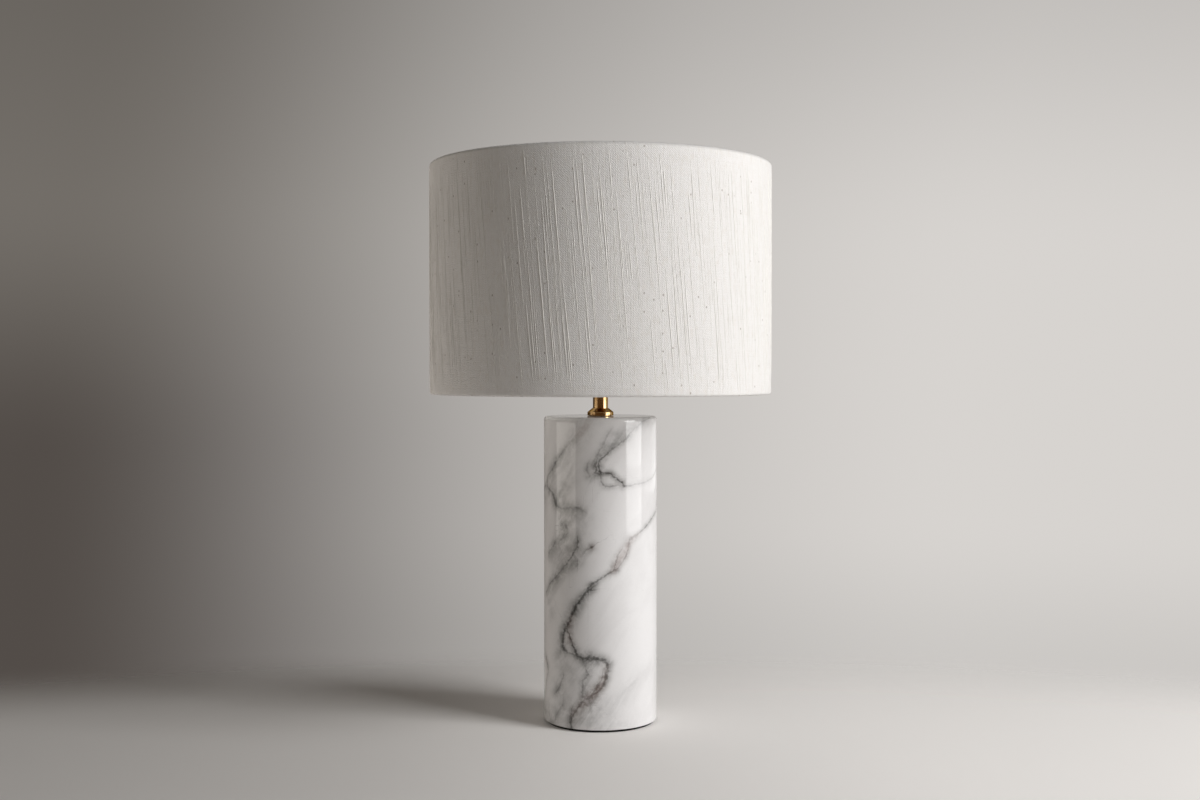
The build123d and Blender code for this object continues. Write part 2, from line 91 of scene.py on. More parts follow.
# Marble finish. Each mark has a grey and, for stained stone, a brown. Vein sways are in millimetres
marble_gloss = {"IOR": 1.5, "Specular IOR Level": 0.5}
marble_white = (0.80, 0.787, 0.787, 1)
marble_cloud = (0.70, 0.683, 0.683, 1)
# The wash colours paint the stone's grey washes and also painted shade
wash_grey = (0.30, 0.298, 0.292, 1)
wash_brown = (0.36, 0.275, 0.25, 1)
smoke_grey = (0.145, 0.140, 0.132, 1)
smoke_brown = (0.19, 0.130, 0.112, 1)
vein_black = (0.045, 0.043, 0.040, 1)
vein_brown = (0.105, 0.068, 0.055, 1)
wash_streak_share = 0.55
wash_mottle_share = 0.45
cloud_share = 0.6
smoke_share = 0.85
broad_vein_sway = 2.6
fine_vein_sway = 2.6
bead_widths = (0.7, 1.75)
bead_strengths = (0.56, 0.96)
vein_heart = 0.1
halo_spread = 1.7
halo_reach = 1.6
streak_lean = math.radians(-35)
streak_stretch = (190.0, 90.0, 30.0)
cloud_stretch = (34.0, 26.0, 13.0)
marble_polish = (0.015, 0.045)
vein_roughness = 0.12
vein_depth = 0.00006

# Foot pad
pad_low, pad_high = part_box("foot_pad")
pad_edge_round = 0.0004
pad_row = 0.008
pad_turns = 96
foam_dark = (0.008, 0.0075, 0.007, 1)
foam_worn = (0.020, 0.019, 0.018, 1)

# Shade
shade_low, shade_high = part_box("shade_fabric")
shade_radius = shade_high.x
shade_foot = shade_low.z
shade_top = shade_high.z
cloth_thickness = 0.0006
cloth_row = 0.010
hem_radius = 0.0024
hem_wrap = 200.0
hem_steps = 16
ring_radius = shade_radius - hem_radius
hem_low = shade_foot + hem_radius
hem_high = shade_top - hem_radius
shade_turns = 300
lap_turn = math.radians(166)
lap_width = 0.014
lap_step = 0.0005
lap_ease = 0.35
lap_edge = 0.0001
lap_columns = 12
liner_low, liner_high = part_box("shade_liner")
liner_thickness = 0.0005
liner_row = 0.02
arm_turns = (180, 300, 60)
arm_radius = 0.0016
arm_gap = 0.0004

# Linen finish. The three streak shares are those of upright yarns, level yarns and grain
linen_touch = {"Specular IOR Level": 0.2, "Sheen Weight": 0.12, "Sheen Roughness": 0.5}
linen_shaded = (0.79, 0.768, 0.748, 1)
linen_bright = (0.83, 0.813, 0.799, 1)
linen_patch = (0.81, 0.79, 0.757, 1)
linen_fibre = (0.73, 0.685, 0.63, 1)
linen_fleck = (0.26, 0.21, 0.165, 1)
# Painted shade along the rolled upper hem of the cloth
linen_hem_painted_shade = (0.36, 0.35, 0.34, 1)
patch_share = 0.25
fibre_share = 0.40
fleck_share = 0.70
# How strongly and where the painted shade darkens the upper hem
hem_painted_shade_share = 0.30
hem_painted_shade_reach = (hem_high - 0.0008, hem_high + 0.0012)
thread_pitch = 0.0009
thread_sway = 0.0022
upright_stretch = (820.0, 9.0, 1.0)
level_stretch = (30.0, 1100.0, 1.0)
fibre_stretch = (300.0, 110.0, 1.0)
streak_shares = (0.55, 0.32, 0.13)
crossing_relief = 0.16
thread_relief = 0.34
grain_relief = 0.85
streak_relief = 1.1
weave_depth = 0.0004
fleck_scale = 125.0
fleck_stretch = (1.0, 0.62, 1.0)
fleck_rarity = (0.84, 0.92)
fleck_edge = (0.095, 0.04)

# Slub yarns in the linen
slub_count = 860
slub_lengths = (0.035, 0.155)
slub_length_bias = 1.3
slub_radii = (0.00016, 0.00048)
slub_radius_bias = 2.0
slub_unevenness = (0.8, 1.2)
slub_taper = 0.6
slub_tip = 0.02
slub_points = 10
slub_sides = 6
slub_sink = 0.30
slub_lean = math.radians(-5.2)
slub_lean_spread = math.radians(0.7)
slub_wander = 0.0003
slub_seed = 7
yarn_shaded = (0.75, 0.73, 0.69, 1)
yarn_bright = (0.87, 0.855, 0.82, 1)
yarn_stretch = (2600.0, 2600.0, 160.0)

# Lampholder thread and bulb thread
barrel_low, barrel_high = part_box("lampholder_barrel")
barrel_radius = 0.0191
barrel_inner = 0.0178
barrel_round = 0.0005
barrel_pitch = 0.0024
barrel_thread_depth = 0.0005
carrier_low, carrier_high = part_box("shade_carrier_ring")
shade_seat = carrier_low.z
shoulder_thickness = 0.002
shoulder_foot = shade_seat - shoulder_thickness
shoulder_radius = barrel_high.x
insulator_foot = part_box("socket_insulator")[0].z
ledge_radius = 0.0156
ledge_thickness = 0.0015
ledge_foot = insulator_foot - ledge_thickness
guide_low, guide_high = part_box("switch_guides")
guide_fit = 0.00005
cap_low, cap_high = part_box("bulb_screw_cap")
cap_radius = cap_high.x
cap_wall = 0.0005
cap_lip = 0.0102
cap_cone = 0.0026
cap_skirt = 0.006
cap_pitch = 0.0036
cap_thread_depth = 0.0008
thread_steps = 8
thread_turns = 96
thread_reach = 1.5 * cap_wall

# Turned metals by slot: name, bright and dull colour, roughness, scale and depth of the marks, other values
metal_finishes = {
    "brass": (
        "aged_brass", (0.60, 0.41, 0.215, 1), (0.45, 0.29, 0.13, 1), (0.12, 0.22), 5200.0, 0.000015,
        {"Anisotropic": 0.35, "Specular Tint": (0.30, 0.20, 0.08, 1)},
    ),
    "contact_brass": (
        "contact_brass", (0.78, 0.61, 0.30, 1), (0.55, 0.40, 0.17, 1), (0.18, 0.36), 4200.0, 0.00004, {},
    ),
    "steel": (
        "zinc_steel", (0.66, 0.66, 0.67, 1), (0.45, 0.45, 0.44, 1), (0.25, 0.45), 3600.0, 0.00005, {},
    ),
    "bulb_metal": (
        "nickel_cap", (0.76, 0.75, 0.72, 1), (0.58, 0.56, 0.53, 1), (0.14, 0.30), 4200.0, 0.00004, {},
    ),
}
turned_streak_scale = 0.22
streak_dulling = (-0.2, 0.5)
smudge_dulling = 0.6
speck_dulling = 0.25

# Moulded, coated and fired finishes by slot: name, pale and dark colour, roughness, grain scale and depth
moulded_finishes = {
    "black_plastic": (
        "black_moulding", (0.036, 0.036, 0.038, 1), (0.022, 0.022, 0.023, 1), (0.38, 0.58), 2600.0, 0.00006,
    ),
    "gasket": (
        "gasket_rubber", (0.085, 0.083, 0.08, 1), (0.05, 0.049, 0.048, 1), (0.7, 0.9), 1800.0, 0.0001,
    ),
    "socket_ceramic": (
        "socket_ceramic", (0.86, 0.84, 0.79, 1), (0.78, 0.75, 0.69, 1), (0.35, 0.6), 1400.0, 0.00008,
    ),
    "shade_liner": (
        "liner_sheet", (0.84, 0.83, 0.80, 1), (0.78, 0.765, 0.73, 1), (0.42, 0.6), 1200.0, 0.00005,
    ),
    "white_wire": (
        "white_coat", (0.80, 0.80, 0.78, 1), (0.73, 0.73, 0.71, 1), (0.32, 0.5), 1100.0, 0.00012,
    ),
    "opal": (
        "opal_globe", (0.88, 0.87, 0.84, 1), (0.83, 0.82, 0.79, 1), (0.30, 0.42), 900.0, 0.00003,
    ),
    "bulb_white": (
        "bulb_moulding", (0.84, 0.84, 0.83, 1), (0.78, 0.78, 0.77, 1), (0.28, 0.42), 2000.0, 0.00004,
    ),
    "bulb_board": (
        "light_board", (0.82, 0.82, 0.81, 1), (0.72, 0.73, 0.73, 1), (0.3, 0.5), 1500.0, 0.00004,
    ),
    "bulb_black": (
        "black_glass", (0.030, 0.029, 0.030, 1), (0.016, 0.016, 0.017, 1), (0.10, 0.22), 900.0, 0.00005,
    ),
}
moulded_mottle_scale = 0.045
dust_colour = (0.45, 0.43, 0.40, 1)
dust_share = 0.12

# Light panels: turn, distance, width, foot, top, brightness and colour
light_panels = {
    "key_panel": (61.0, 2.0, 0.9, 0.30, 2.8, 7.8, (1.0, 1.0, 1.0)),
    "high_strip": (71.5, 1.45, 0.98, 0.13, 0.29, 4.8, (1.0, 1.0, 1.0)),
    "low_strip": (71.5, 1.45, 0.98, 0.0, 0.13, 2.6, (1.0, 1.0, 1.0)),
    "low_left_panel": (-74.4, 1.1, 0.98, 0.03, 0.25, 1.5, (1.0, 0.95, 0.88)),
    "low_right_panel": (121.0, 1.45, 1.6, 0.08, 0.205, 0.9, (1.0, 1.0, 1.0)),
}
drum_light_radius = 0.13
drum_light_brightness = 0.32

# World: a reach gives where a tone starts and where it is full
ambient_colour = (0.112, 0.101, 0.089, 1)
ambient_top = (0.03, 0.027, 0.024, 1)
ambient_top_reach = (0.25, 0.85)
side_glow = (2.86, 2.65, 2.41, 1)
side_glow_way = (-0.766, 0.643, 0.0)
side_glow_reach = (0.72, 0.95)
side_glow_height = (0.30, 0.08)
# Painted shade on the backdrop: darker to the left, more so low on the left, darker above and near the
# floor
backdrop_painted_shade = (0.172, 0.157, 0.140, 1)
backdrop_low_painted_shade = (0.085, 0.073, 0.065, 1)
backdrop_low_painted_shade_reach = (0.12, -0.06)
backdrop_pale = (0.68, 0.655, 0.63, 1)
backdrop_low_pale = (0.60, 0.58, 0.558, 1)
backdrop_foot_reach = (-0.10, -0.20)
backdrop_reach = (-0.37, 0.057)
backdrop_far_reach = (-0.05, 0.25)
backdrop_far_share = 0.25
backdrop_lean = 0.18
backdrop_top_reach = (0.07, 0.30)
backdrop_top_share = 0.25
studio_dark = (0.035, 0.031, 0.028, 1)
room_brown = (0.105, 0.058, 0.024, 1)
room_reach = (-0.35, 0.25)
mirrored_share = 0.85

# Floor
floor_pale = (0.97, 0.945, 0.92, 1)
# Painted shade: the floor is darker to the left
floor_painted_shade = (0.60, 0.58, 0.56, 1)
floor_pale_reach = (-0.8, 0.3)
floor_fibre = (0.4, 0.38, 0.36, 1)
floor_fibre_share = 0.06
floor_radius = 1.6
floor_middle = (0.0, -0.40, 0.0)
floor_stretch = (0.62, 1.0, 1.0)
floor_fade = (0.74, 0.50)
# Painted light on the right of the floor, which only the camera sees
floor_painted_light = (0.118, 0.113, 0.109, 1)
floor_painted_light_reach = (-0.22, 0.32)


# Node building

class Graph:
    """Adds nodes to one tree. An input is a plain value or another node's output."""

    def __init__(self, tree):
        self.tree = tree

    def put(self, socket, value):
        if isinstance(value, bpy.types.NodeSocket):
            self.tree.links.new(value, socket)
        else:
            socket.default_value = value

    def add(self, kind, inputs=None, **settings):
        node = self.tree.nodes.new(kind)
        for name, value in settings.items():
            setattr(node, name, value)
        for name, value in (inputs or {}).items():
            self.put(node.inputs[name], value)
        return node

    def math(self, operation, first, second=0.0):
        return self.add("ShaderNodeMath", {0: first, 1: second}, operation=operation).outputs[0]

    def plus(self, first, second):
        return self.math("ADD", first, second)

    def minus(self, first, second):
        return self.math("SUBTRACT", first, second)

    def times(self, first, second):
        return self.math("MULTIPLY", first, second)

    def step(self, value, low, high):
        """A smooth step from 0 at low to 1 at high."""
        inputs = {"Value": value, "From Min": low, "From Max": high}
        return self.add("ShaderNodeMapRange", inputs, interpolation_type="SMOOTHSTEP").outputs[0]

    def span(self, value, low, high):
        """Carries the range from 0 to 1 over to low to high."""
        return self.add("ShaderNodeMapRange", {"Value": value, "To Min": low, "To Max": high}).outputs[0]

    def noise(self, place, scale=1.0, detail=2.0, roughness=0.5, distortion=0.0):
        inputs = {"Vector": place, "Scale": scale, "Detail": detail}
        inputs.update({"Roughness": roughness, "Distortion": distortion})
        return self.add("ShaderNodeTexNoise", inputs).outputs["Fac"]

    def swing(self, place, scale, detail=2.0, roughness=0.5):
        """Noise about zero."""
        return self.minus(self.noise(place, scale, detail, roughness), 0.5)

    def stretch(self, place, scale):
        """Scales a place along each axis."""
        return self.add("ShaderNodeVectorMath", {0: place, 1: scale}, operation="MULTIPLY").outputs[0]

    def split(self, place):
        return self.add("ShaderNodeSeparateXYZ", {0: place}).outputs

    def join(self, x, y, z):
        return self.add("ShaderNodeCombineXYZ", {0: x, 1: y, 2: z}).outputs[0]

    def blend(self, factor, first, second, blend_type="MIX"):
        inputs = {0: factor, 6: first, 7: second}
        return self.add("ShaderNodeMix", inputs, data_type="RGBA", blend_type=blend_type).outputs[2]

    def bump(self, height, distance, strength=1.0):
        inputs = {"Height": height, "Distance": distance, "Strength": strength}
        return self.add("ShaderNodeBump", inputs).outputs["Normal"]

    def attribute(self, name):
        return self.add("ShaderNodeAttribute", attribute_name=name).outputs["Vector"]

    def group(self, tree, inputs):
        return self.add("ShaderNodeGroup", inputs, node_tree=tree).outputs


def new_tree(name, kind, inputs, outputs):
    """An empty node tree with named sockets. Returns its graph, its inputs and its outputs."""
    tree = bpy.data.node_groups.new(name, kind)
    for socket_name, socket_type in inputs.items():
        tree.interface.new_socket(socket_name, in_out="INPUT", socket_type="NodeSocket" + socket_type)
    for socket_name, socket_type in outputs.items():
        tree.interface.new_socket(socket_name, in_out="OUTPUT", socket_type="NodeSocket" + socket_type)
    graph = Graph(tree)
    return graph, graph.add("NodeGroupInput").outputs, graph.add("NodeGroupOutput").inputs


def new_material(name, constants):
    """A material with its plain values set. Returns it, its graph, its shader's inputs and its place."""
    material = bpy.data.materials.new(name)
    material.use_nodes = True
    graph = Graph(material.node_tree)
    shader = material.node_tree.nodes["Principled BSDF"]
    for socket, value in constants.items():
        shader.inputs[socket].default_value = value
    return material, graph, shader.inputs, graph.add("ShaderNodeTexCoord").outputs["Object"]


# Shared surface effects

def handling_group():
    """Broad smudges and fine specks, as a touched or dusty surface has."""
    graph, given, out = new_tree(
        "handling",
        "ShaderNodeTree",
        {"Place": "Vector", "Patch Scale": "Float", "Speck Scale": "Float"},
        {"Smudge": "Float", "Speck": "Float"},
    )
    patches = graph.noise(given["Place"], given["Patch Scale"], detail=4.0, roughness=0.6, distortion=0.8)
    specks = graph.noise(given["Place"], given["Speck Scale"], detail=1.0, roughness=0.4)
    graph.put(out["Smudge"], graph.step(patches, low=0.38, high=0.66))
    graph.put(out["Speck"], graph.step(specks, low=0.62, high=0.74))
    return graph.tree


def turned_marks_group():
    """Fine rings left by turning, the same all the way round the lamp's axis."""
    graph, given, out = new_tree(
        "turned_marks",
        "ShaderNodeTree",
        {"Place": "Vector", "Mark Scale": "Float"},
        {"Height": "Float", "Streak": "Float"},
    )
    flat = graph.stretch(given["Place"], (1, 1, 0))
    radius = graph.add("ShaderNodeVectorMath", {0: flat}, operation="LENGTH").outputs["Value"]
    section = graph.join(radius, 0.0, graph.split(given["Place"])["Z"])
    wide_scale = graph.times(given["Mark Scale"], turned_streak_scale)
    graph.put(out["Height"], graph.noise(section, given["Mark Scale"], detail=3.0, roughness=0.7))
    graph.put(out["Streak"], graph.noise(section, wide_scale, detail=2.0, roughness=0.5))
    return graph.tree


def moulded_grain_group():
    """The fine skin of moulded plastic, powder coat or unglazed ceramic."""
    graph, given, out = new_tree(
        "moulded_grain",
        "ShaderNodeTree",
        {"Place": "Vector", "Grain Scale": "Float"},
        {"Height": "Float", "Mottle": "Float"},
    )
    broad_scale = graph.times(given["Grain Scale"], moulded_mottle_scale)
    graph.put(out["Height"], graph.noise(given["Place"], given["Grain Scale"], detail=2.0, roughness=0.55))
    graph.put(out["Mottle"], graph.noise(given["Place"], broad_scale, detail=3.0, roughness=0.6))
    return graph.tree


def plain_weave_group():
    """Plain weave of uneven yarns, with long upright streaks, weaker level ones and dark flecks."""
    graph, given, out = new_tree(
        "plain_weave",
        "ShaderNodeTree",
        {"Cloth": "Vector", "Thread Pitch": "Float"},
        {"Height": "Float", "Streak": "Float", "Fleck": "Float"},
    )
    cloth = given["Cloth"]
    sway = graph.times(graph.swing(cloth, scale=55.0), thread_sway)
    across, along, _ = graph.split(cloth)
    warp = graph.math("DIVIDE", graph.plus(across, sway), given["Thread Pitch"])
    weft = graph.math("DIVIDE", graph.plus(along, sway), given["Thread Pitch"])
    warp_wave = graph.math("SINE", graph.times(warp, math.pi))
    weft_wave = graph.math("SINE", graph.times(weft, math.pi))
    crossing = graph.times(warp_wave, weft_wave)
    threads = graph.math("MAXIMUM", graph.math("ABSOLUTE", warp_wave), graph.math("ABSOLUTE", weft_wave))

    upright = graph.noise(graph.stretch(cloth, upright_stretch), detail=4.0, roughness=0.66)
    level = graph.noise(graph.stretch(cloth, level_stretch), detail=3.0, roughness=0.6)
    grain = graph.noise(cloth, scale=900.0, detail=2.0, roughness=0.6)
    upright_share, level_share, grain_share = streak_shares
    streak = graph.plus(graph.times(upright, upright_share), graph.times(level, level_share))
    streak = graph.plus(streak, graph.times(grain, grain_share))
    height = graph.plus(graph.times(crossing, crossing_relief), graph.times(threads, thread_relief))
    height = graph.plus(height, graph.times(grain, grain_relief))
    graph.put(out["Height"], graph.plus(height, graph.times(streak, streak_relief)))
    graph.put(out["Streak"], streak)

    inputs = {"Vector": graph.stretch(cloth, fleck_stretch), "Scale": fleck_scale}
    cells = graph.add("ShaderNodeTexVoronoi", inputs, voronoi_dimensions="2D").outputs
    chosen = graph.step(graph.split(cells["Color"])["X"], *fleck_rarity)
    near = graph.step(cells["Distance"], *fleck_edge)
    graph.put(out["Fleck"], graph.times(chosen, near))
    return graph.tree


def stone_vein_group():
    """The dark line of a vein. Vein holds the distance to it in millimetres, its darkness and its width."""
    graph, given, out = new_tree(
        "stone_vein",
        "ShaderNodeTree",
        {"Vein": "Vector", "Wander": "Float", "Beads": "Float"},
        {"Line": "Float"},
    )
    distance, darkness, width = graph.split(given["Vein"])
    near = graph.math("ABSOLUTE", graph.plus(distance, given["Wander"]))
    edge = graph.times(width, graph.span(given["Beads"], *bead_widths))
    line = graph.step(near, edge, graph.times(edge, vein_heart))
    strength = graph.times(darkness, graph.span(given["Beads"], *bead_strengths))
    graph.put(out["Line"], graph.times(line, strength))
    return graph.tree


handling = handling_group()
turned_marks = turned_marks_group()
moulded_grain = moulded_grain_group()
plain_weave = plain_weave_group()
stone_vein = stone_vein_group()


# Materials

def polished_marble():
    """White marble: dark beaded veins with smoky halos, streaky grey washes that also carry painted shade,
    brown stains and clouds.
    """
    material, graph, shader, place = new_material("polished_marble", marble_gloss)
    broad = graph.swing(place, scale=70.0, detail=3.0, roughness=0.55)
    fine = graph.swing(place, scale=330.0, detail=3.0, roughness=0.6)
    wander = graph.plus(graph.times(broad, broad_vein_sway), graph.times(fine, fine_vein_sway))
    beads = graph.step(graph.noise(place, scale=320.0, detail=3.0, roughness=0.6), low=0.32, high=0.66)
    core = 0.0
    for name in vein_fields:
        inputs = {"Vein": graph.attribute(name), "Wander": wander, "Beads": beads}
        core = graph.math("MAXIMUM", core, graph.group(stone_vein, inputs)["Line"])
    # The wash channel holds the stone's grey washes and painted shade on the left half and near the foot
    halo, wash_and_painted_shade, stain = graph.split(graph.attribute("stone_shades"))

    inputs = {"Vector": place, "Angle": streak_lean}
    leaning = graph.add("ShaderNodeVectorRotate", inputs, rotation_type="Y_AXIS").outputs[0]
    streaks = graph.noise(graph.stretch(leaning, streak_stretch), detail=4.0, roughness=0.6, distortion=0.5)
    mottle = graph.noise(place, scale=150.0, detail=5.0, roughness=0.65, distortion=0.4)
    patchy = graph.plus(graph.times(streaks, wash_streak_share), graph.times(mottle, wash_mottle_share))
    patchy = graph.step(patchy, low=0.34, high=0.64)
    wash_and_painted_shade = graph.times(wash_and_painted_shade, graph.span(patchy, low=0.25, high=1.35))
    halo = graph.times(halo, graph.span(graph.step(mottle, low=0.30, high=0.66), low=0.40, high=1.15))

    clouds = graph.noise(graph.stretch(leaning, cloud_stretch), detail=5.0, roughness=0.6, distortion=0.9)
    clouds = graph.times(graph.step(clouds, low=0.42, high=0.76), cloud_share)
    colour = graph.blend(clouds, marble_white, marble_cloud)
    colour = graph.blend(wash_and_painted_shade, colour, graph.blend(stain, wash_grey, wash_brown))
    smoke = graph.blend(stain, smoke_grey, smoke_brown)
    colour = graph.blend(graph.times(halo, smoke_share), colour, smoke)
    colour = graph.blend(core, colour, graph.blend(stain, vein_black, vein_brown))
    grain = graph.span(graph.noise(place, scale=900.0, detail=2.0, roughness=0.6), low=0.965, high=1.035)
    colour = graph.blend(1.0, colour, graph.join(grain, grain, grain), "MULTIPLY")
    graph.put(shader["Base Color"], colour)

    smears = graph.group(handling, {"Place": place, "Patch Scale": 24.0, "Speck Scale": 700.0})
    roughness = graph.span(smears["Smudge"], *marble_polish)
    graph.put(shader["Roughness"], graph.plus(roughness, graph.times(core, vein_roughness)))
    graph.put(shader["Normal"], graph.bump(graph.times(core, -1.0), vein_depth, strength=0.5))
    return material


def linen_cloth():
    """Natural white plain weave of uneven yarns with dark flecks, and painted shade along the rolled upper
    hem.
    """
    material, graph, shader, _ = new_material("slub_linen", linen_touch)
    cloth = graph.add("ShaderNodeUVMap", uv_map="cloth").outputs["UV"]
    weave = graph.group(plain_weave, {"Cloth": cloth, "Thread Pitch": thread_pitch})
    colour = graph.blend(graph.step(weave["Streak"], low=0.36, high=0.62), linen_shaded, linen_bright)
    patches = graph.step(graph.noise(cloth, scale=9.0, detail=2.0), low=0.3, high=0.7)
    colour = graph.blend(graph.times(patches, patch_share), colour, linen_patch)
    fibres = graph.noise(graph.stretch(cloth, fibre_stretch), detail=3.0, roughness=0.6)
    fibres = graph.step(fibres, low=0.48, high=0.72)
    colour = graph.blend(graph.times(fibres, fibre_share), colour, linen_fibre)
    colour = graph.blend(graph.times(weave["Fleck"], fleck_share), colour, linen_fleck)
    # Painted shade: the rolled upper hem is darkened
    hem_painted_shade = graph.step(graph.split(cloth)["Y"], *hem_painted_shade_reach)
    colour = graph.blend(graph.times(hem_painted_shade, hem_painted_shade_share), colour, linen_hem_painted_shade)
    graph.put(shader["Base Color"], colour)
    graph.put(shader["Roughness"], graph.span(weave["Streak"], low=0.98, high=0.82))
    graph.put(shader["Normal"], graph.bump(weave["Height"], weave_depth))
    return material


def linen_yarn():
    """The thick slub yarns: the cloth's colour, with loose fibres along their length."""
    material, graph, shader, place = new_material("slub_yarn", linen_touch)
    fibres = graph.noise(graph.stretch(place, yarn_stretch), detail=3.0, roughness=0.6)
    colour = graph.blend(graph.step(fibres, low=0.3, high=0.7), yarn_shaded, yarn_bright)
    graph.put(shader["Base Color"], colour)
    graph.put(shader["Roughness"], graph.span(fibres, low=0.95, high=0.8))
    graph.put(shader["Normal"], graph.bump(fibres, distance=0.00012, strength=0.7))
    return material


def metal(name, bright, dull, roughness, mark_scale, mark_depth, constants):
    """Turned metal: fine rings, streaks of polish, and duller patches where it was touched."""
    material, graph, shader, place = new_material(name, {"Metallic": 1.0, **constants})
    marks = graph.group(turned_marks, {"Place": place, "Mark Scale": mark_scale})
    touched = graph.group(handling, {"Place": place, "Patch Scale": 140.0, "Speck Scale": 2200.0})
    smudges = graph.times(touched["Smudge"], smudge_dulling)
    dullness = graph.plus(smudges, graph.span(marks["Streak"], *streak_dulling))
    dullness = graph.plus(dullness, graph.times(touched["Speck"], speck_dulling))
    graph.put(shader["Base Color"], graph.blend(dullness, bright, dull))
    graph.put(shader["Roughness"], graph.span(dullness, *roughness))
    graph.put(shader["Normal"], graph.bump(marks["Height"], mark_depth, strength=0.6))
    return material


def moulded(name, pale, dark, roughness, grain_scale, grain_depth):
    """A moulded, coated or fired surface: fine grain, faint mottle and dusty specks."""
    material, graph, shader, place = new_material(name, {})
    grain = graph.group(moulded_grain, {"Place": place, "Grain Scale": grain_scale})
    touched = graph.group(handling, {"Place": place, "Patch Scale": 60.0, "Speck Scale": 1500.0})
    colour = graph.blend(graph.step(grain["Mottle"], low=0.3, high=0.7), dark, pale)
    colour = graph.blend(graph.times(touched["Speck"], dust_share), colour, dust_colour)
    graph.put(shader["Base Color"], colour)
    graph.put(shader["Roughness"], graph.span(touched["Smudge"], *roughness))
    graph.put(shader["Normal"], graph.bump(grain["Height"], grain_depth, strength=0.6))
    return material


def foot_foam():
    """Dark closed-cell foam."""
    material, graph, shader, place = new_material("foot_foam", {"Specular IOR Level": 0.25})
    cells = graph.add("ShaderNodeTexVoronoi", {"Vector": place, "Scale": 1500.0}).outputs["Distance"]
    worn = graph.step(graph.noise(place, scale=90.0, detail=3.0, roughness=0.6), low=0.4, high=0.7)
    graph.put(shader["Base Color"], graph.blend(worn, foam_dark, foam_worn))
    graph.put(shader["Roughness"], graph.span(cells, low=0.95, high=0.7))
    graph.put(shader["Normal"], graph.bump(cells, distance=0.0003, strength=0.7))
    return material


def made_materials():
    """Every material but the marble and the slub yarns, by the record's slot."""
    made = {"linen": linen_cloth(), "foot_pad": foot_foam()}
    for slot, finish in metal_finishes.items():
        made[slot] = metal(*finish)
    for slot, finish in moulded_finishes.items():
        made[slot] = moulded(*finish)
    return made


# Mesh building

def add_object(name, data):
    piece = bpy.data.objects.new(name, data)
    bpy.context.scene.collection.objects.link(piece)
    return piece


def smooth(mesh, sharp_degrees=38.0):
    mesh.polygons.foreach_set("use_smooth", [True] * len(mesh.polygons))
    mesh.set_sharp_from_angle(angle=math.radians(sharp_degrees))
    return mesh


def even_turns(count):
    return np.arange(count) * (2 * math.pi / count)


def arc(centre, radius, start, end, steps):
    """Points of an arc in an outline, with angles in degrees from the outward direction."""
    angles = np.radians(np.linspace(start, end, steps + 1))
    return [(centre[0] + radius * math.cos(a), centre[1] + radius * math.sin(a)) for a in angles]


def rise(radius, low, high, spacing):
    """Points up or down a straight wall, without its two ends."""
    count = max(2, round(abs(high - low) / spacing))
    return [(radius, height) for height in np.linspace(low, high, count + 1)[1:-1]]


def reach(height, inner, outer, spacing):
    """Points along a level face, without its two ends."""
    count = max(2, round(abs(outer - inner) / spacing))
    return [(radius, height) for radius in np.linspace(inner, outer, count + 1)[1:-1]]


def turned_mesh(name, outline, turns, offset=0.0):
    """Turn a closed outline of (radius, height) points, given anticlockwise, about the lamp's axis.
    offset gives what is added to each radius, for each turn and outline point."""
    outline = np.array(outline)
    rows = len(outline)
    columns = len(turns)
    radius = np.tile(outline[:, 0], (columns, 1)) + offset
    height = np.tile(outline[:, 1], (columns, 1))
    turn = np.array(turns)[:, None]
    points = np.stack([radius * np.sin(turn), -radius * np.cos(turn), height], axis=-1)
    column, row = np.meshgrid(np.arange(columns), np.arange(rows), indexing="ij")
    first = column * rows
    second = (column + 1) % columns * rows
    next_row = (row + 1) % rows
    faces = np.stack([first + row, second + row, second + next_row, first + next_row], axis=-1)
    mesh = bpy.data.meshes.new(name)
    mesh.from_pydata(points.reshape(-1, 3).tolist(), [], faces.reshape(-1, 4).tolist())
    build = bmesh.new()
    build.from_mesh(mesh)
    bmesh.ops.remove_doubles(build, verts=build.verts, dist=1e-7)
    build.to_mesh(mesh)
    build.free()
    return mesh


def cutter(outline, place):
    """A turned tool for cutting holes, set in its place."""
    mesh = turned_mesh("cutter", outline, even_turns(cutter_turns))
    mesh.transform(place)
    return add_object("cutter", mesh)


def cut(mesh, cutters):
    """The mesh with the cutters taken out of it."""
    blank = add_object("blank", mesh)
    for tool in cutters:
        hole = blank.modifiers.new("hole", "BOOLEAN")
        hole.operation = "DIFFERENCE"
        hole.solver = "EXACT"
        hole.object = tool
    ready = blank.evaluated_get(bpy.context.evaluated_depsgraph_get())
    result = bpy.data.meshes.new_from_object(ready)
    result.name = mesh.name
    bpy.data.objects.remove(blank)
    for tool in cutters:
        bpy.data.objects.remove(tool)
    return result


def place_piece(name, mesh, material, body, replaced=None):
    """A finished piece that rides on its body."""
    mesh.materials.clear()
    mesh.materials.append(material)
    piece = add_object(name, mesh)
    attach(piece, body)
    if replaced:
        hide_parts(replaced)
    return piece


# Marble column and its veins

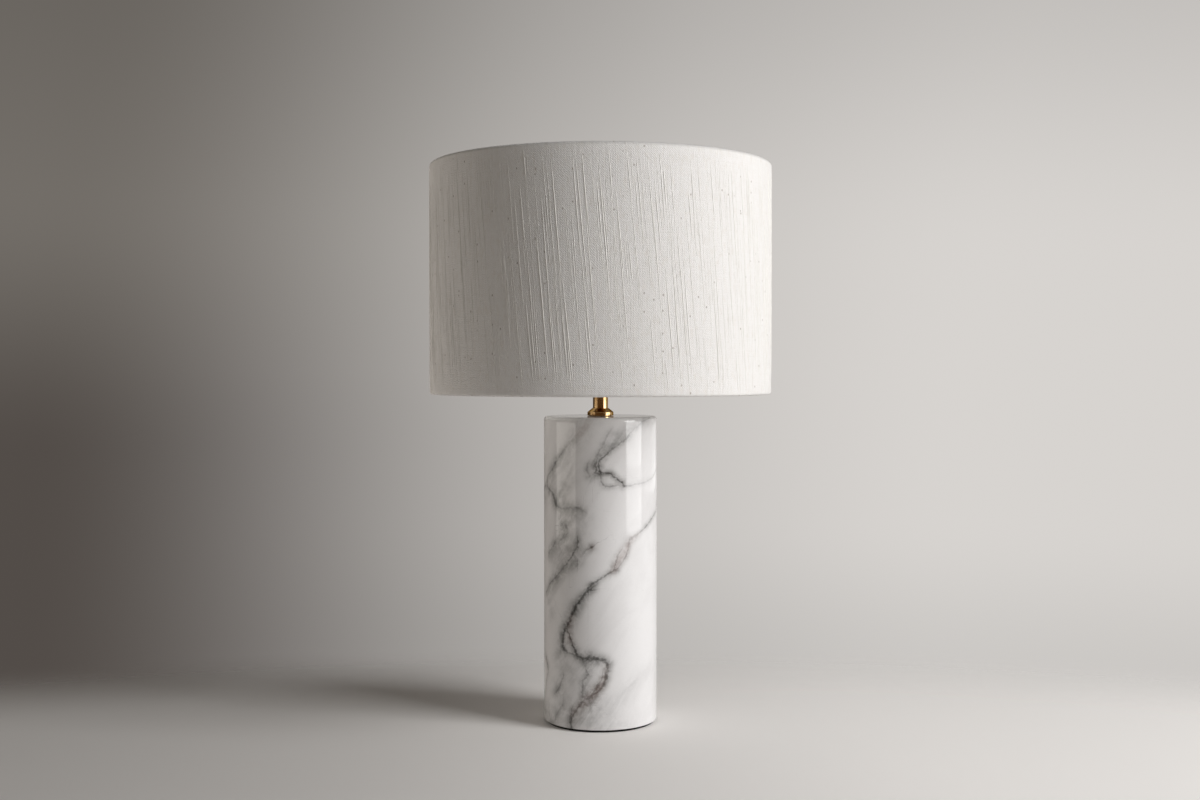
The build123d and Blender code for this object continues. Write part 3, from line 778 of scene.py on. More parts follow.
# Veins on the front: pixel column and row in the photograph, darkness, and half width in millimetres
front_veins = {
    "vein_main_end": [
        (656, 510, 0.35, 0.7), (652, 518, 0.5, 0.8), (647, 525, 0.5, 0.8), (641, 531, 0.4, 0.7),
        (637, 535, 0.25, 1.1), (634, 537, 0, 0.8),
    ],
    "vein_main_right": [
        (638, 534.5, 0.2, 1), (630, 539, 0.4, 1.8), (628.5, 543, 0.4, 1.2), (628, 549, 0.45, 0.8),
        (626, 556, 0.45, 0.8), (623.5, 560, 0.3, 0.7), (620, 565, 0.25, 0.7), (617, 569, 0.4, 0.8),
    ],
    "vein_main": [
        (624, 544, 0, 0.6), (619.5, 553, 0.35, 0.8), (617, 558, 0.5, 0.9), (615.5, 563, 0.55, 1.2),
        (614, 567, 0.65, 1.3), (615, 570.5, 0.75, 1.3), (609, 573, 0.6, 0.9), (603, 577, 0.5, 0.8),
        (598, 580, 0.6, 0.9), (592, 584, 0.7, 1.1), (589, 587.5, 0.8, 1.2), (585, 594, 0.85, 1.5),
        (580, 600.5, 0.9, 1.6), (576, 606, 1, 2), (574, 611, 1, 2.2), (571, 617, 0.9, 2),
        (569, 624, 0.9, 1.8), (565, 630, 0.9, 1.6), (563, 635, 0.95, 1.3), (562.7, 641, 0.95, 1.2),
        (563, 648, 0.9, 1.7), (567, 652, 0.6, 1.2), (572, 654, 0.45, 0.9), (577, 656, 0.2, 0.7),
    ],
    "vein_dash": [
        (600, 581.5, 0, 0.6), (594.5, 586, 0.45, 0.7), (589, 590, 0.8, 1), (592, 590.2, 0.8, 0.9),
        (596.5, 590, 0.35, 0.6),
    ],
    "vein_low": [
        (566.5, 629, 0.6, 1.2), (569, 634, 0.9, 1.3), (570.7, 640, 0.95, 1.2), (573, 646, 0.95, 1.2),
        (575.5, 651, 0.95, 1.2), (577, 656, 0.95, 1.4), (582, 658.7, 0.9, 1.6), (588, 658.5, 0.9, 2.4),
        (594, 658.8, 0.9, 2.6), (600, 659.5, 0.8, 1.8), (605, 660.5, 0.8, 1.6), (608, 664, 0.85, 1.6),
        (607, 671, 0.75, 1.5), (605.8, 678, 0.75, 1.4), (603.5, 684, 0.75, 1.3), (600.5, 689, 0.75, 1.3),
        (595.5, 693.5, 0.75, 1.3), (590.5, 697, 0.75, 1.3), (586.5, 699.5, 0.7, 1.6),
    ],
    "vein_low_inner": [
        (604, 668, 0, 0.7), (602.5, 675, 0.35, 0.9), (601, 681, 0.5, 0.9), (597.5, 686, 0.7, 1.2),
        (595.5, 690, 0.6, 1), (593, 694, 0.4, 0.8), (588, 697, 0.2, 0.8),
    ],
    "vein_pocket": [
        (586.5, 699.5, 0.4, 1.2), (582.5, 696.5, 0.5, 1.2), (581.3, 691, 0.5, 1.1), (583.5, 686, 0.6, 1),
        (582.5, 681, 0.35, 1), (585.5, 678, 0.4, 1), (588.5, 674.5, 0.65, 1.2), (586.5, 671.5, 0.4, 0.9),
        (584, 664, 0.3, 1.2), (582.5, 659.5, 0.3, 0.8),
    ],
    "vein_foot": [
        (585, 699.5, 0.5, 1.2), (580.5, 704.5, 0.65, 1.3), (576, 711.5, 0.7, 1.2), (572.5, 717, 0.75, 1.2),
        (570.5, 722.5, 0.75, 1.2), (571.5, 729, 0.6, 1), (573, 736, 0.5, 1),
    ],
    "vein_foot_strand": [
        (574.5, 703, 0, 0.7), (572.5, 708, 0.35, 0.8), (571, 714, 0.45, 0.8), (569.7, 720, 0.55, 0.8),
        (570, 726, 0.4, 0.7),
    ],
    "vein_foot_smear": [
        (588, 698, 0.3, 1.2), (590.5, 703, 0.35, 1.6), (590.5, 708, 0.2, 1.3), (592, 716, 0, 1.3),
    ],
    "vein_upper": [
        (651, 416, 0.3, 0.8), (643, 421, 0.3, 0.8), (634, 429, 0.2, 0.8), (626.5, 439, 0.45, 0.9),
        (620.5, 443, 0.45, 0.9), (613, 447.5, 0.5, 1), (606, 454.5, 0.6, 1), (600.5, 459.5, 0.8, 1),
        (598, 464, 0.9, 1), (599.5, 469, 0.95, 1.3), (600.5, 472.5, 0.9, 1), (605, 473.3, 0.75, 0.8),
        (611, 473.8, 0.85, 0.9), (614.5, 477, 0.9, 0.9), (619, 480.5, 0.75, 0.7), (622.5, 482.5, 0.85, 1),
        (624, 486, 0.7, 1), (628, 486.5, 0.3, 0.7), (636, 484, 0.2, 0.8), (645, 482.5, 0.18, 0.9),
        (652, 477.5, 0.2, 0.9), (656.5, 468, 0.2, 0.8),
    ],
    "vein_upper_knot": [
        (596.5, 462, 0.3, 0.8), (594.5, 466, 0.8, 1.1), (597, 469.5, 0.9, 1), (595, 473, 0.5, 0.9),
        (599, 473.5, 0.7, 1),
    ],
    "vein_upper_loop": [
        (600.5, 476, 0.3, 0.7), (601.3, 482, 0.45, 0.8), (604.5, 486, 0.45, 0.9), (611, 487, 0.45, 0.9),
        (617.5, 485, 0.3, 0.8), (622, 486.5, 0.1, 0.6),
    ],
    "vein_upper_curl": [
        (589.5, 460, 0, 0.8), (587.8, 465, 0.4, 1.1), (587.5, 471, 0.4, 1.1), (589.5, 476.5, 0.4, 1.2),
        (594, 474, 0.25, 0.9),
    ],
    "vein_upper_strand": [
        (614, 425, 0, 0.9), (609, 432, 0.22, 0.9), (605, 440, 0.25, 1), (601.5, 447, 0.3, 1),
        (598, 454, 0.3, 1), (594, 461, 0.2, 1),
    ],
    "vein_left": [
        (576, 436, 0.1, 1), (569, 444, 0.16, 1.1), (564, 449.5, 0.3, 1.1), (561, 454, 0.45, 1.2),
        (557, 460.5, 0.38, 1.1), (554.5, 464.5, 0.45, 1.2), (552.5, 469, 0.4, 1.2), (549, 474, 0.3, 1.1),
        (547.2, 480, 0.48, 1.3), (547.5, 486, 0.5, 1.3), (551, 490.5, 0.45, 1.4), (553.5, 495, 0.55, 1.6),
        (554.7, 500, 0.6, 1.6), (556, 505.5, 0.62, 1.6), (559, 507, 0.42, 1.4), (564, 509.5, 0.38, 1.3),
        (569.5, 507.5, 0.4, 1.4), (574, 508.3, 0.5, 1.4), (577.5, 507.5, 0.55, 1.4), (581, 509, 0.36, 1.5),
        (585, 511.5, 0.28, 1.4), (589, 514, 0, 1),
    ],
    "vein_left_short": [
        (568, 521, 0, 0.8), (563, 523, 0.45, 1.6), (566.5, 527.5, 0.55, 1.8), (568, 532, 0.3, 1.5),
        (565, 536, 0.35, 1.6), (561.5, 539.5, 0.3, 1.4), (558, 544, 0, 1),
    ],
    "vein_left_middle": [
        (578, 536, 0.2, 0.8), (577.8, 541, 0.65, 1), (577.5, 547, 0.6, 1.1), (574.5, 551, 0.6, 1.1),
        (572.5, 556, 0.6, 1.1), (569, 561, 0.55, 1.1), (564.5, 566, 0.45, 1), (560.5, 571, 0.4, 1),
        (556, 576.5, 0.65, 1.2), (552.5, 580.5, 0.45, 1), (549, 586, 0.4, 1), (546.5, 592, 0.3, 0.9),
    ],
    "vein_left_dash": [(577.8, 557, 0, 0.7), (577.6, 562, 0.5, 0.9), (577, 567, 0.2, 0.8)],
    "vein_dot": [
        (593, 546.5, 0.6, 1.3), (591.6, 547.4, 0.9, 1.5), (590, 549, 0.6, 1), (586, 550.5, 0.35, 0.9),
        (583, 554, 0.25, 1.2), (580, 558, 0, 1),
    ],
    "vein_edge": [
        (557, 540, 0.25, 1.2), (554, 545, 0.4, 1.3), (550.5, 550, 0.4, 1.3), (548, 556, 0.1, 1.2),
    ],
    "vein_low_left": [
        (563.5, 671, 0.1, 0.8), (563.2, 677, 0.45, 1.1), (560.8, 683, 0.4, 1), (559.5, 688, 0.5, 1),
        (556.5, 692, 0.55, 1.1), (554.5, 694.5, 0.2, 0.9),
    ],
    "vein_foot_left": [
        (563.5, 698, 0.1, 1.2), (563, 704, 0.4, 1.3), (560, 709, 0.2, 1), (557, 714, 0.35, 0.9),
        (555, 720, 0.3, 0.9),
    ],
    "vein_low_edge": [
        (545.8, 653, 0.2, 0.7), (546.8, 660, 0.7, 0.9), (547.8, 666, 0.7, 0.9), (548.5, 671, 0.25, 0.7),
        (546.3, 682, 0.35, 0.8), (545.6, 692, 0.1, 0.7),
    ],
    "vein_low_right": [
        (640, 677, 0, 1.2), (634, 682, 0.09, 1.7), (630, 686, 0.09, 1.7), (625, 691, 0.04, 1.2),
        (620, 696, 0, 0.8),
    ],
}

# Grey washes on the front, given in the same way. Those on the left half and along the foot are partly
# painted shade, darker than the stone's own, on the side away from the key light and towards the floor.
front_washes_and_painted_shade = {
    "wash_upper": [
        (645, 420, 0.35, 5), (633, 427, 0.25, 5), (618, 437, 0.55, 6), (608, 447, 0.5, 6),
        (600, 457, 0.6, 5), (594, 467, 0.75, 5), (590, 475, 0.55, 5), (593, 484, 0.1, 5),
    ],
    "wash_upper_loop": [
        (596, 471, 0.3, 5), (602, 479, 0.15, 5), (610, 484, 0.12, 4), (618, 484, 0.08, 3),
    ],
    "wash_top": [(586, 420, 0.25, 10), (582, 431, 0.3, 9), (578, 440, 0.2, 8)],
    "wash_left": [
        (586, 422, 0.15, 10), (575, 440, 0.35, 8), (562, 455, 0.45, 7), (552, 472, 0.5, 7),
        (549, 488, 0.5, 7), (555, 503, 0.5, 6), (566, 508, 0.45, 6), (578, 510, 0.4, 6),
        (589, 514, 0.1, 5),
    ],
    # Painted shade on the left side of the stone, away from the key light
    "painted_shade_left_dapple": [
        (560, 494, 0.55, 4), (564, 491.5, 0.55, 4), (569, 482, 0.3, 8), (569, 464, 0.3, 6),
    ],
    "wash_left_band": [
        (561, 486, 0.25, 7), (562, 500, 0.35, 8), (566, 520, 0.35, 8), (565, 545, 0.4, 9),
        (556, 560, 0.25, 8),
    ],
    "wash_left_short": [
        (574, 515, 0.45, 4), (565, 525, 0.55, 6), (563, 536, 0.45, 7), (555, 545, 0.4, 7),
        (549, 556, 0.4, 7),
    ],
    "wash_left_middle": [
        (584, 522, 0.25, 8), (577, 545, 0.5, 6), (570, 560, 0.5, 7), (558, 577, 0.5, 8),
        (548, 594, 0.4, 8), (551, 612, 0.25, 9),
    ],
    "wash_dot": [(592, 548, 0.3, 3), (585, 551, 0.4, 5), (579, 560, 0.4, 6), (572, 567, 0.45, 5)],
    "wash_main_top": [(637, 535, 0.15, 3), (628, 543, 0.25, 4), (621, 557, 0.3, 5), (614, 569, 0.3, 4)],
    "wash_main": [
        (594, 585, 0.25, 4), (582, 600, 0.45, 6), (573, 614, 0.55, 7), (564, 632, 0.55, 7),
        (561, 648, 0.5, 7),
    ],
    "wash_low": [
        (578, 655, 0.45, 5), (594, 661, 0.5, 6), (606, 666, 0.5, 4), (604, 682, 0.55, 4),
        (595, 693, 0.55, 6), (586, 701, 0.55, 6), (577, 713, 0.5, 6), (571, 728, 0.45, 6),
    ],
    "wash_pocket": [(588, 668, 0.4, 7), (588, 684, 0.4, 7), (593, 703, 0.4, 6), (583, 719, 0.4, 8)],
    # A grey wash with a painted reflection of the floor's shadow at the bottom left
    "wash_and_painted_reflection_low_left": [
        (559, 658, 0.35, 10), (568, 676, 0.35, 10), (558, 690, 0.45, 10), (566, 704, 0.35, 9),
        (556, 717, 0.5, 10), (548, 726, 0.5, 10),
    ],
    # Painted shade along the foot, where the stone darkens towards the floor
    "painted_shade_foot": [(618, 700, 0.1, 10), (602, 712, 0.25, 11), (596, 726, 0.3, 11), (640, 730, 0.12, 10)],
    "wash_low_right": [
        (655, 664, 0.06, 8), (640, 676, 0.12, 8), (628, 690, 0.12, 8), (612, 706, 0.06, 8),
    ],
}

# Where the front is stained brown, given in the same way
front_stains = {
    "stain_main": [(638, 534, 0.6, 4), (628, 545, 1, 5), (618, 561, 1, 5), (613, 571, 0.7, 4)],
    "stain_dot": [(599, 543, 0.5, 4), (592, 548, 0.4, 4)],
    "stain_top": [(590, 423, 0.5, 6), (580, 433, 0.6, 6)],
    "stain_main_low": [(572, 618, 0.5, 3), (568, 640, 0.5, 4), (578, 640, 0.4, 6)],
    "stain_low": [(605, 668, 0.5, 4), (600, 687, 0.7, 5), (588, 698, 0.6, 6), (574, 714, 0.5, 5)],
}

# Veins, washes and stains on the back: turn in degrees, height in metres, darkness, and half width
back_veins = {
    "vein_back_main": [
        (74, 0.186, 0, 0.7), (86, 0.196, 0.45, 0.8), (97, 0.204, 0.6, 0.9), (112, 0.214, 0.8, 1.3),
        (119, 0.225, 0.9, 1.7), (126, 0.232, 0.85, 1.2), (140, 0.243, 0.6, 0.9), (147, 0.256, 0.7, 1.2),
        (152, 0.262, 0.5, 0.8), (158, 0.288, 0.3, 0.8), (163, 0.305, 0, 0.7),
    ],
    "vein_back_low": [
        (-74, 0.05, 0, 0.7), (-86, 0.056, 0.45, 0.8), (-98, 0.064, 0.6, 0.9), (-118, 0.058, 0.75, 1.2),
        (-124, 0.069, 0.85, 1.5), (-133, 0.078, 0.95, 2), (-151, 0.085, 0.85, 1.3), (-160, 0.099, 0.9, 1.6),
        (-168, 0.108, 0.9, 2.2), (175, 0.118, 0.8, 1.3), (167, 0.133, 0.85, 1.2), (158, 0.142, 0.9, 1.7),
        (143, 0.151, 0.6, 1), (131, 0.166, 0.6, 0.8), (120, 0.172, 0.5, 0.9), (104, 0.188, 0.4, 0.8),
        (92, 0.199, 0, 0.7),
    ],
    "vein_back_branch": [
        (-130, 0.084, 0, 0.8), (-134, 0.072, 0.75, 1.1), (-140, 0.055, 0.6, 1.3), (-131, 0.035, 0.55, 0.9),
        (-138, 0.012, 0.45, 1.1), (-140, -0.004, 0.3, 0.8),
    ],
    "vein_back_strand": [
        (-146, 0.083, 0, 0.7), (-158, 0.105, 0.6, 0.9), (-171, 0.119, 0.7, 1.1), (172, 0.128, 0.5, 0.8),
        (160, 0.146, 0, 0.7),
    ],
    "vein_back_left": [
        (-66, 0.214, 0, 0.7), (-76, 0.208, 0.45, 0.9), (-86, 0.203, 0.5, 0.8), (-101, 0.222, 0.6, 1.2),
        (-108, 0.217, 0.6, 1), (-115, 0.219, 0.5, 0.9), (-131, 0.24, 0.4, 0.9), (-140, 0.268, 0.3, 1),
        (-146, 0.295, 0, 0.8),
    ],
    "vein_back_faint": [
        (172, 0.028, 0, 0.8), (150, 0.041, 0.35, 1.2), (131, 0.036, 0.3, 0.9), (109, 0.057, 0.3, 1),
        (86, 0.062, 0.15, 0.9), (78, 0.067, 0, 0.8),
    ],
}
back_washes = {
    "wash_back_low": [
        (-96, 0.066, 0.2, 8), (-130, 0.09, 0.5, 9), (-160, 0.112, 0.55, 9), (165, 0.145, 0.5, 9),
        (138, 0.17, 0.4, 8), (112, 0.2, 0.2, 7),
    ],
    "wash_back_main": [
        (100, 0.2, 0.2, 6), (120, 0.232, 0.55, 8), (143, 0.258, 0.45, 8), (156, 0.285, 0.35, 9),
    ],
    "wash_back_left": [
        (-80, 0.2, 0.45, 9), (-104, 0.214, 0.5, 9), (-128, 0.246, 0.4, 10), (-142, 0.28, 0.3, 9),
    ],
    # Darker towards the foot at the back
    "darker_back_foot": [
        (-70, 0.012, 0.45, 10), (-100, 0.022, 0.4, 12), (-138, 0.03, 0.45, 9), (160, 0.04, 0.25, 9),
    ],
}
back_stains = {
    "stain_back_low": [(-133, 0.078, 0.7, 5), (-168, 0.11, 0.7, 6), (158, 0.142, 0.6, 5)],
    "stain_back_main": [(113, 0.216, 0.8, 5), (126, 0.234, 0.6, 5)],
}

# Veins that run side by side need fields of their own on the stone, and others share one
vein_fields = {
    "veins_main": ("vein_main", "vein_upper", "vein_back_left"),
    "veins_low": ("vein_low", "vein_upper_strand", "vein_back_main"),
    "veins_left": ("vein_left", "vein_main_right", "vein_pocket", "vein_back_branch"),
    "veins_middle": (
        "vein_left_middle", "vein_low_inner", "vein_upper_knot", "vein_foot_left", "vein_back_low",
    ),
    "veins_foot": ("vein_foot", "vein_dot", "vein_upper_curl", "vein_main_end", "vein_back_strand"),
    "veins_short": (
        "vein_left_short", "vein_dash", "vein_upper_loop", "vein_foot_strand", "vein_low_edge",
        "vein_low_right",
    ),
    "veins_faint": ("vein_left_dash", "vein_edge", "vein_low_left", "vein_foot_smear", "vein_back_faint"),
}


def seen_on_column(pixel_column, pixel_row):
    """The turn and height of the spot on the column's wall that a pixel of the photograph shows."""
    right = (pixel_column - photo_width / 2) / focal_length_pixels
    up = (photo_height / 2 - pixel_row) / focal_length_pixels
    forward_y = math.cos(eye_tilt) + up * math.sin(eye_tilt)
    forward_z = up * math.cos(eye_tilt) - math.sin(eye_tilt)
    half = -eye_left * right - eye_distance * forward_y
    size = right**2 + forward_y**2
    inside = max(0.0, half**2 - size * (eye_left**2 + eye_distance**2 - column_radius**2))
    travel = (-half - math.sqrt(inside)) / size
    x = -eye_left + travel * right
    y = -eye_distance + travel * forward_y
    return math.atan2(x, -y), eye_height + travel * forward_z


def wall_routes(front, back):
    """Routes on the unrolled wall, each a list of stops as (turn, height, darkness, width)."""
    routes = {}
    for name, stops in front.items():
        routes[name] = [(*seen_on_column(column, row), *rest) for column, row, *rest in stops]
    for name, stops in back.items():
        routes[name] = [(math.radians(turn), height, *rest) for turn, height, *rest in stops]
    return routes


def nearest_stop(turns, heights, routes):
    """For points on the unrolled wall: the signed distance to the nearest route in millimetres, and the
    route's darkness and width there."""
    nearest = np.full(len(turns), np.inf)
    distance = np.zeros(len(turns))
    darkness = np.zeros(len(turns))
    width = np.ones(len(turns))
    spans = [pair for route in routes for pair in zip(route, route[1:])]
    for (turn, height, dark, wide), (next_turn, next_height, next_dark, next_wide) in spans:
        run = math.remainder(next_turn - turn, 2 * math.pi) * column_radius
        climb = next_height - height
        across = (np.remainder(turns - turn + math.pi, 2 * math.pi) - math.pi) * column_radius
        along = heights - height
        share = np.clip((across * run + along * climb) / (run**2 + climb**2), 0, 1)
        gap = np.hypot(across - share * run, along - share * climb)
        side = np.where(across * climb - along * run >= 0, 1, -1)
        closer = gap < nearest
        nearest = np.where(closer, gap, nearest)
        distance = np.where(closer, gap * side * millimetres_per_metre, distance)
        darkness = np.where(closer, dark + share * (next_dark - dark), darkness)
        width = np.where(closer, wide + share * (next_wide - wide), width)
    return distance, darkness, width


def soft_strokes(turns, heights, routes, spread=1.0, least_reach=0.0):
    """How dark soft strokes along the routes make each point. Overlapping strokes add up."""
    clear = np.ones(len(turns))
    for route in routes:
        distance, darkness, width = nearest_stop(turns, heights, [route])
        clear *= 1 - darkness * np.exp(-((distance / (least_reach + spread * width)) ** 2))
    return 1 - clear


def vein_the_stone(mesh):
    """Store on the stone its veins' distance, darkness and width, and its halos, washes with painted shade,
    and stains.
    """
    points = np.empty(len(mesh.vertices) * 3)
    mesh.vertices.foreach_get("co", points)
    x, y, z = points.reshape(-1, 3).T
    turns = np.arctan2(x, -y)
    set_in = column_radius - np.hypot(x, y)
    heights = np.where(z > (column_foot + column_top) / 2, z + set_in, z - set_in)
    veins = wall_routes(front_veins, back_veins)
    washes_and_painted_shade = wall_routes(front_washes_and_painted_shade, back_washes)
    stains = wall_routes(front_stains, back_stains)
    fields = {}
    for name, members in vein_fields.items():
        fields[name] = nearest_stop(turns, heights, [veins[member] for member in members])
    fields["stone_shades"] = (
        soft_strokes(turns, heights, veins.values(), halo_spread, halo_reach),
        soft_strokes(turns, heights, washes_and_painted_shade.values()),
        soft_strokes(turns, heights, stains.values()),
    )
    for name, values in fields.items():
        field = mesh.attributes.new(name, "FLOAT_VECTOR", "POINT")
        field.data.foreach_set("vector", np.stack(values, axis=-1).ravel())


def marble_column():
    """The stone with its recess, rod hole and cord inlet."""
    wall_foot = column_foot + column_foot_round
    wall_top = column_top - column_top_round
    foot_rim = column_radius - column_foot_round
    top_rim = column_radius - column_top_round
    outline = [
        (recess_radius, column_foot),
        *reach(column_foot, recess_radius, foot_rim, column_foot_row),
        *arc((foot_rim, wall_foot), column_foot_round, -90, 0, steps=5),
        *rise(column_radius, wall_foot, wall_top, column_row),
        *arc((top_rim, wall_top), column_top_round, 0, 90, steps=7),
        *reach(column_top, top_rim, rod_hole_radius, column_row),
        (rod_hole_radius, column_top),
        (rod_hole_radius, recess_top),
        (recess_radius, recess_top),
    ]
    mesh = turned_mesh("marble_column", outline, even_turns(column_turns))
    to_back = Matrix.Translation((0, 0, inlet_level)) @ Matrix.Rotation(math.radians(-90), 4, "X")
    start = recess_radius / 2
    beyond = column_radius * 1.1
    inlet = [
        (0, start),
        (inlet_hole_radius, start),
        (inlet_hole_radius, inlet_spot_seat),
        (inlet_spot_radius, inlet_spot_seat),
        (inlet_spot_radius, beyond),
        (0, beyond),
    ]
    mesh = smooth(cut(mesh, [cutter(inlet, to_back)]))
    vein_the_stone(mesh)
    return place_piece("column_stone", mesh, polished_marble(), "lamp_base", "marble_column")


def foot_pad(materials):
    """The closed foam disc under the stone."""
    radius = pad_high.x
    rim = radius - pad_edge_round
    outline = [
        (0, pad_low.z),
        *reach(pad_low.z, 0, rim, pad_row),
        *arc((rim, pad_low.z + pad_edge_round), pad_edge_round, -90, 0, steps=4),
        (radius, pad_high.z),
        *reach(pad_high.z, radius, 0, pad_row),
        (0, pad_high.z),
    ]
    mesh = smooth(turned_mesh("foot_pad", outline, even_turns(pad_turns)))
    piece = place_piece("foot_foam_pad", mesh, materials["foot_pad"], "lamp_base", "foot_pad")
    return piece


# Shade

def lap(turns):
    """How far the cloth's lapped end stands proud at each turn: a step, then a long run-out."""
    run = (np.array(turns) - lap_turn) * shade_radius
    inside = (run >= 0) & (run <= lap_width)
    return np.where(inside, lap_step * np.clip(1 - run / lap_width, 0.0, 1.0) ** lap_ease, 0.0)


def shade_cloth(materials):
    """The drum of cloth, rolled round the two wire rings and lapped at the back."""
    inner_hem = hem_radius - cloth_thickness
    outline = [
        *arc((ring_radius, hem_low), hem_radius, -hem_wrap, 0, hem_steps),
        *rise(shade_radius, hem_low, hem_high, cloth_row),
        *arc((ring_radius, hem_high), hem_radius, 0, hem_wrap, hem_steps),
        *arc((ring_radius, hem_high), inner_hem, hem_wrap, 0, hem_steps),
        *rise(shade_radius - cloth_thickness, hem_high, hem_low, cloth_row),
        *arc((ring_radius, hem_low), inner_hem, 0, -hem_wrap, hem_steps),
    ]
    lap_start = lap_turn - lap_edge / shade_radius
    lap_end = lap_turn + lap_width / shade_radius
    lap_turns = np.linspace(lap_turn, lap_end, lap_columns)
    turns = np.sort(np.concatenate([even_turns(shade_turns), lap_turns, [lap_start]]))
    middle = shade_radius - cloth_thickness / 2
    outside = np.array([float(radius > middle) for radius, _ in outline])
    mesh = turned_mesh("shade_cloth", outline, turns, np.outer(lap(turns), outside))
    mesh = smooth(cut(mesh, arm_cutters()))
    cloth_map(mesh)
    return place_piece("shade_cloth", mesh, materials["linen"], "shade", "shade_fabric")


def arm_cutters():
    """Tools for the three notches where the arms pass the lower hem."""
    start = Vector((0, carrier_high.x, carrier_high.z - arm_radius))
    end = Vector((0, ring_radius, hem_low))
    length = (end - start).length
    lean = (end - start).to_track_quat("Z", "Y").to_matrix().to_4x4()
    notch = arm_radius + arm_gap
    inside = length - 2 * hem_radius
    outline = [(0, inside), (notch, inside), (notch, length), (0, length)]
    cutters = []
    for turn in arm_turns:
        about = Matrix.Rotation(math.radians(turn + 180), 4, "Z")
        cutters.append(cutter(outline, about @ Matrix.Translation(start) @ lean))
    return cutters


def cloth_map(mesh):
    """A flat map of the cloth in metres: round the drum from the lap, up the wall and round the hems."""
    layer = mesh.uv_layers.new(name="cloth")
    for face in mesh.polygons:
        middle = math.remainder(math.atan2(face.center.x, -face.center.y) - lap_turn, 2 * math.pi)
        for loop_index in face.loop_indices:
            point = mesh.vertices[mesh.loops[loop_index].vertex_index].co
            turn = math.atan2(point.x, -point.y) - lap_turn
            turn = middle + math.remainder(turn - middle, 2 * math.pi)
            out = math.hypot(point.x, point.y) - ring_radius
            rise_up = point.z
            if point.z < hem_low:
                rise_up = hem_low - hem_radius * (math.pi / 2 - math.atan2(out, hem_low - point.z))
            elif point.z > hem_high:
                rise_up = hem_high + hem_radius * (math.pi / 2 - math.atan2(out, point.z - hem_high))
            layer.data[loop_index].uv = (turn * shade_radius, rise_up)


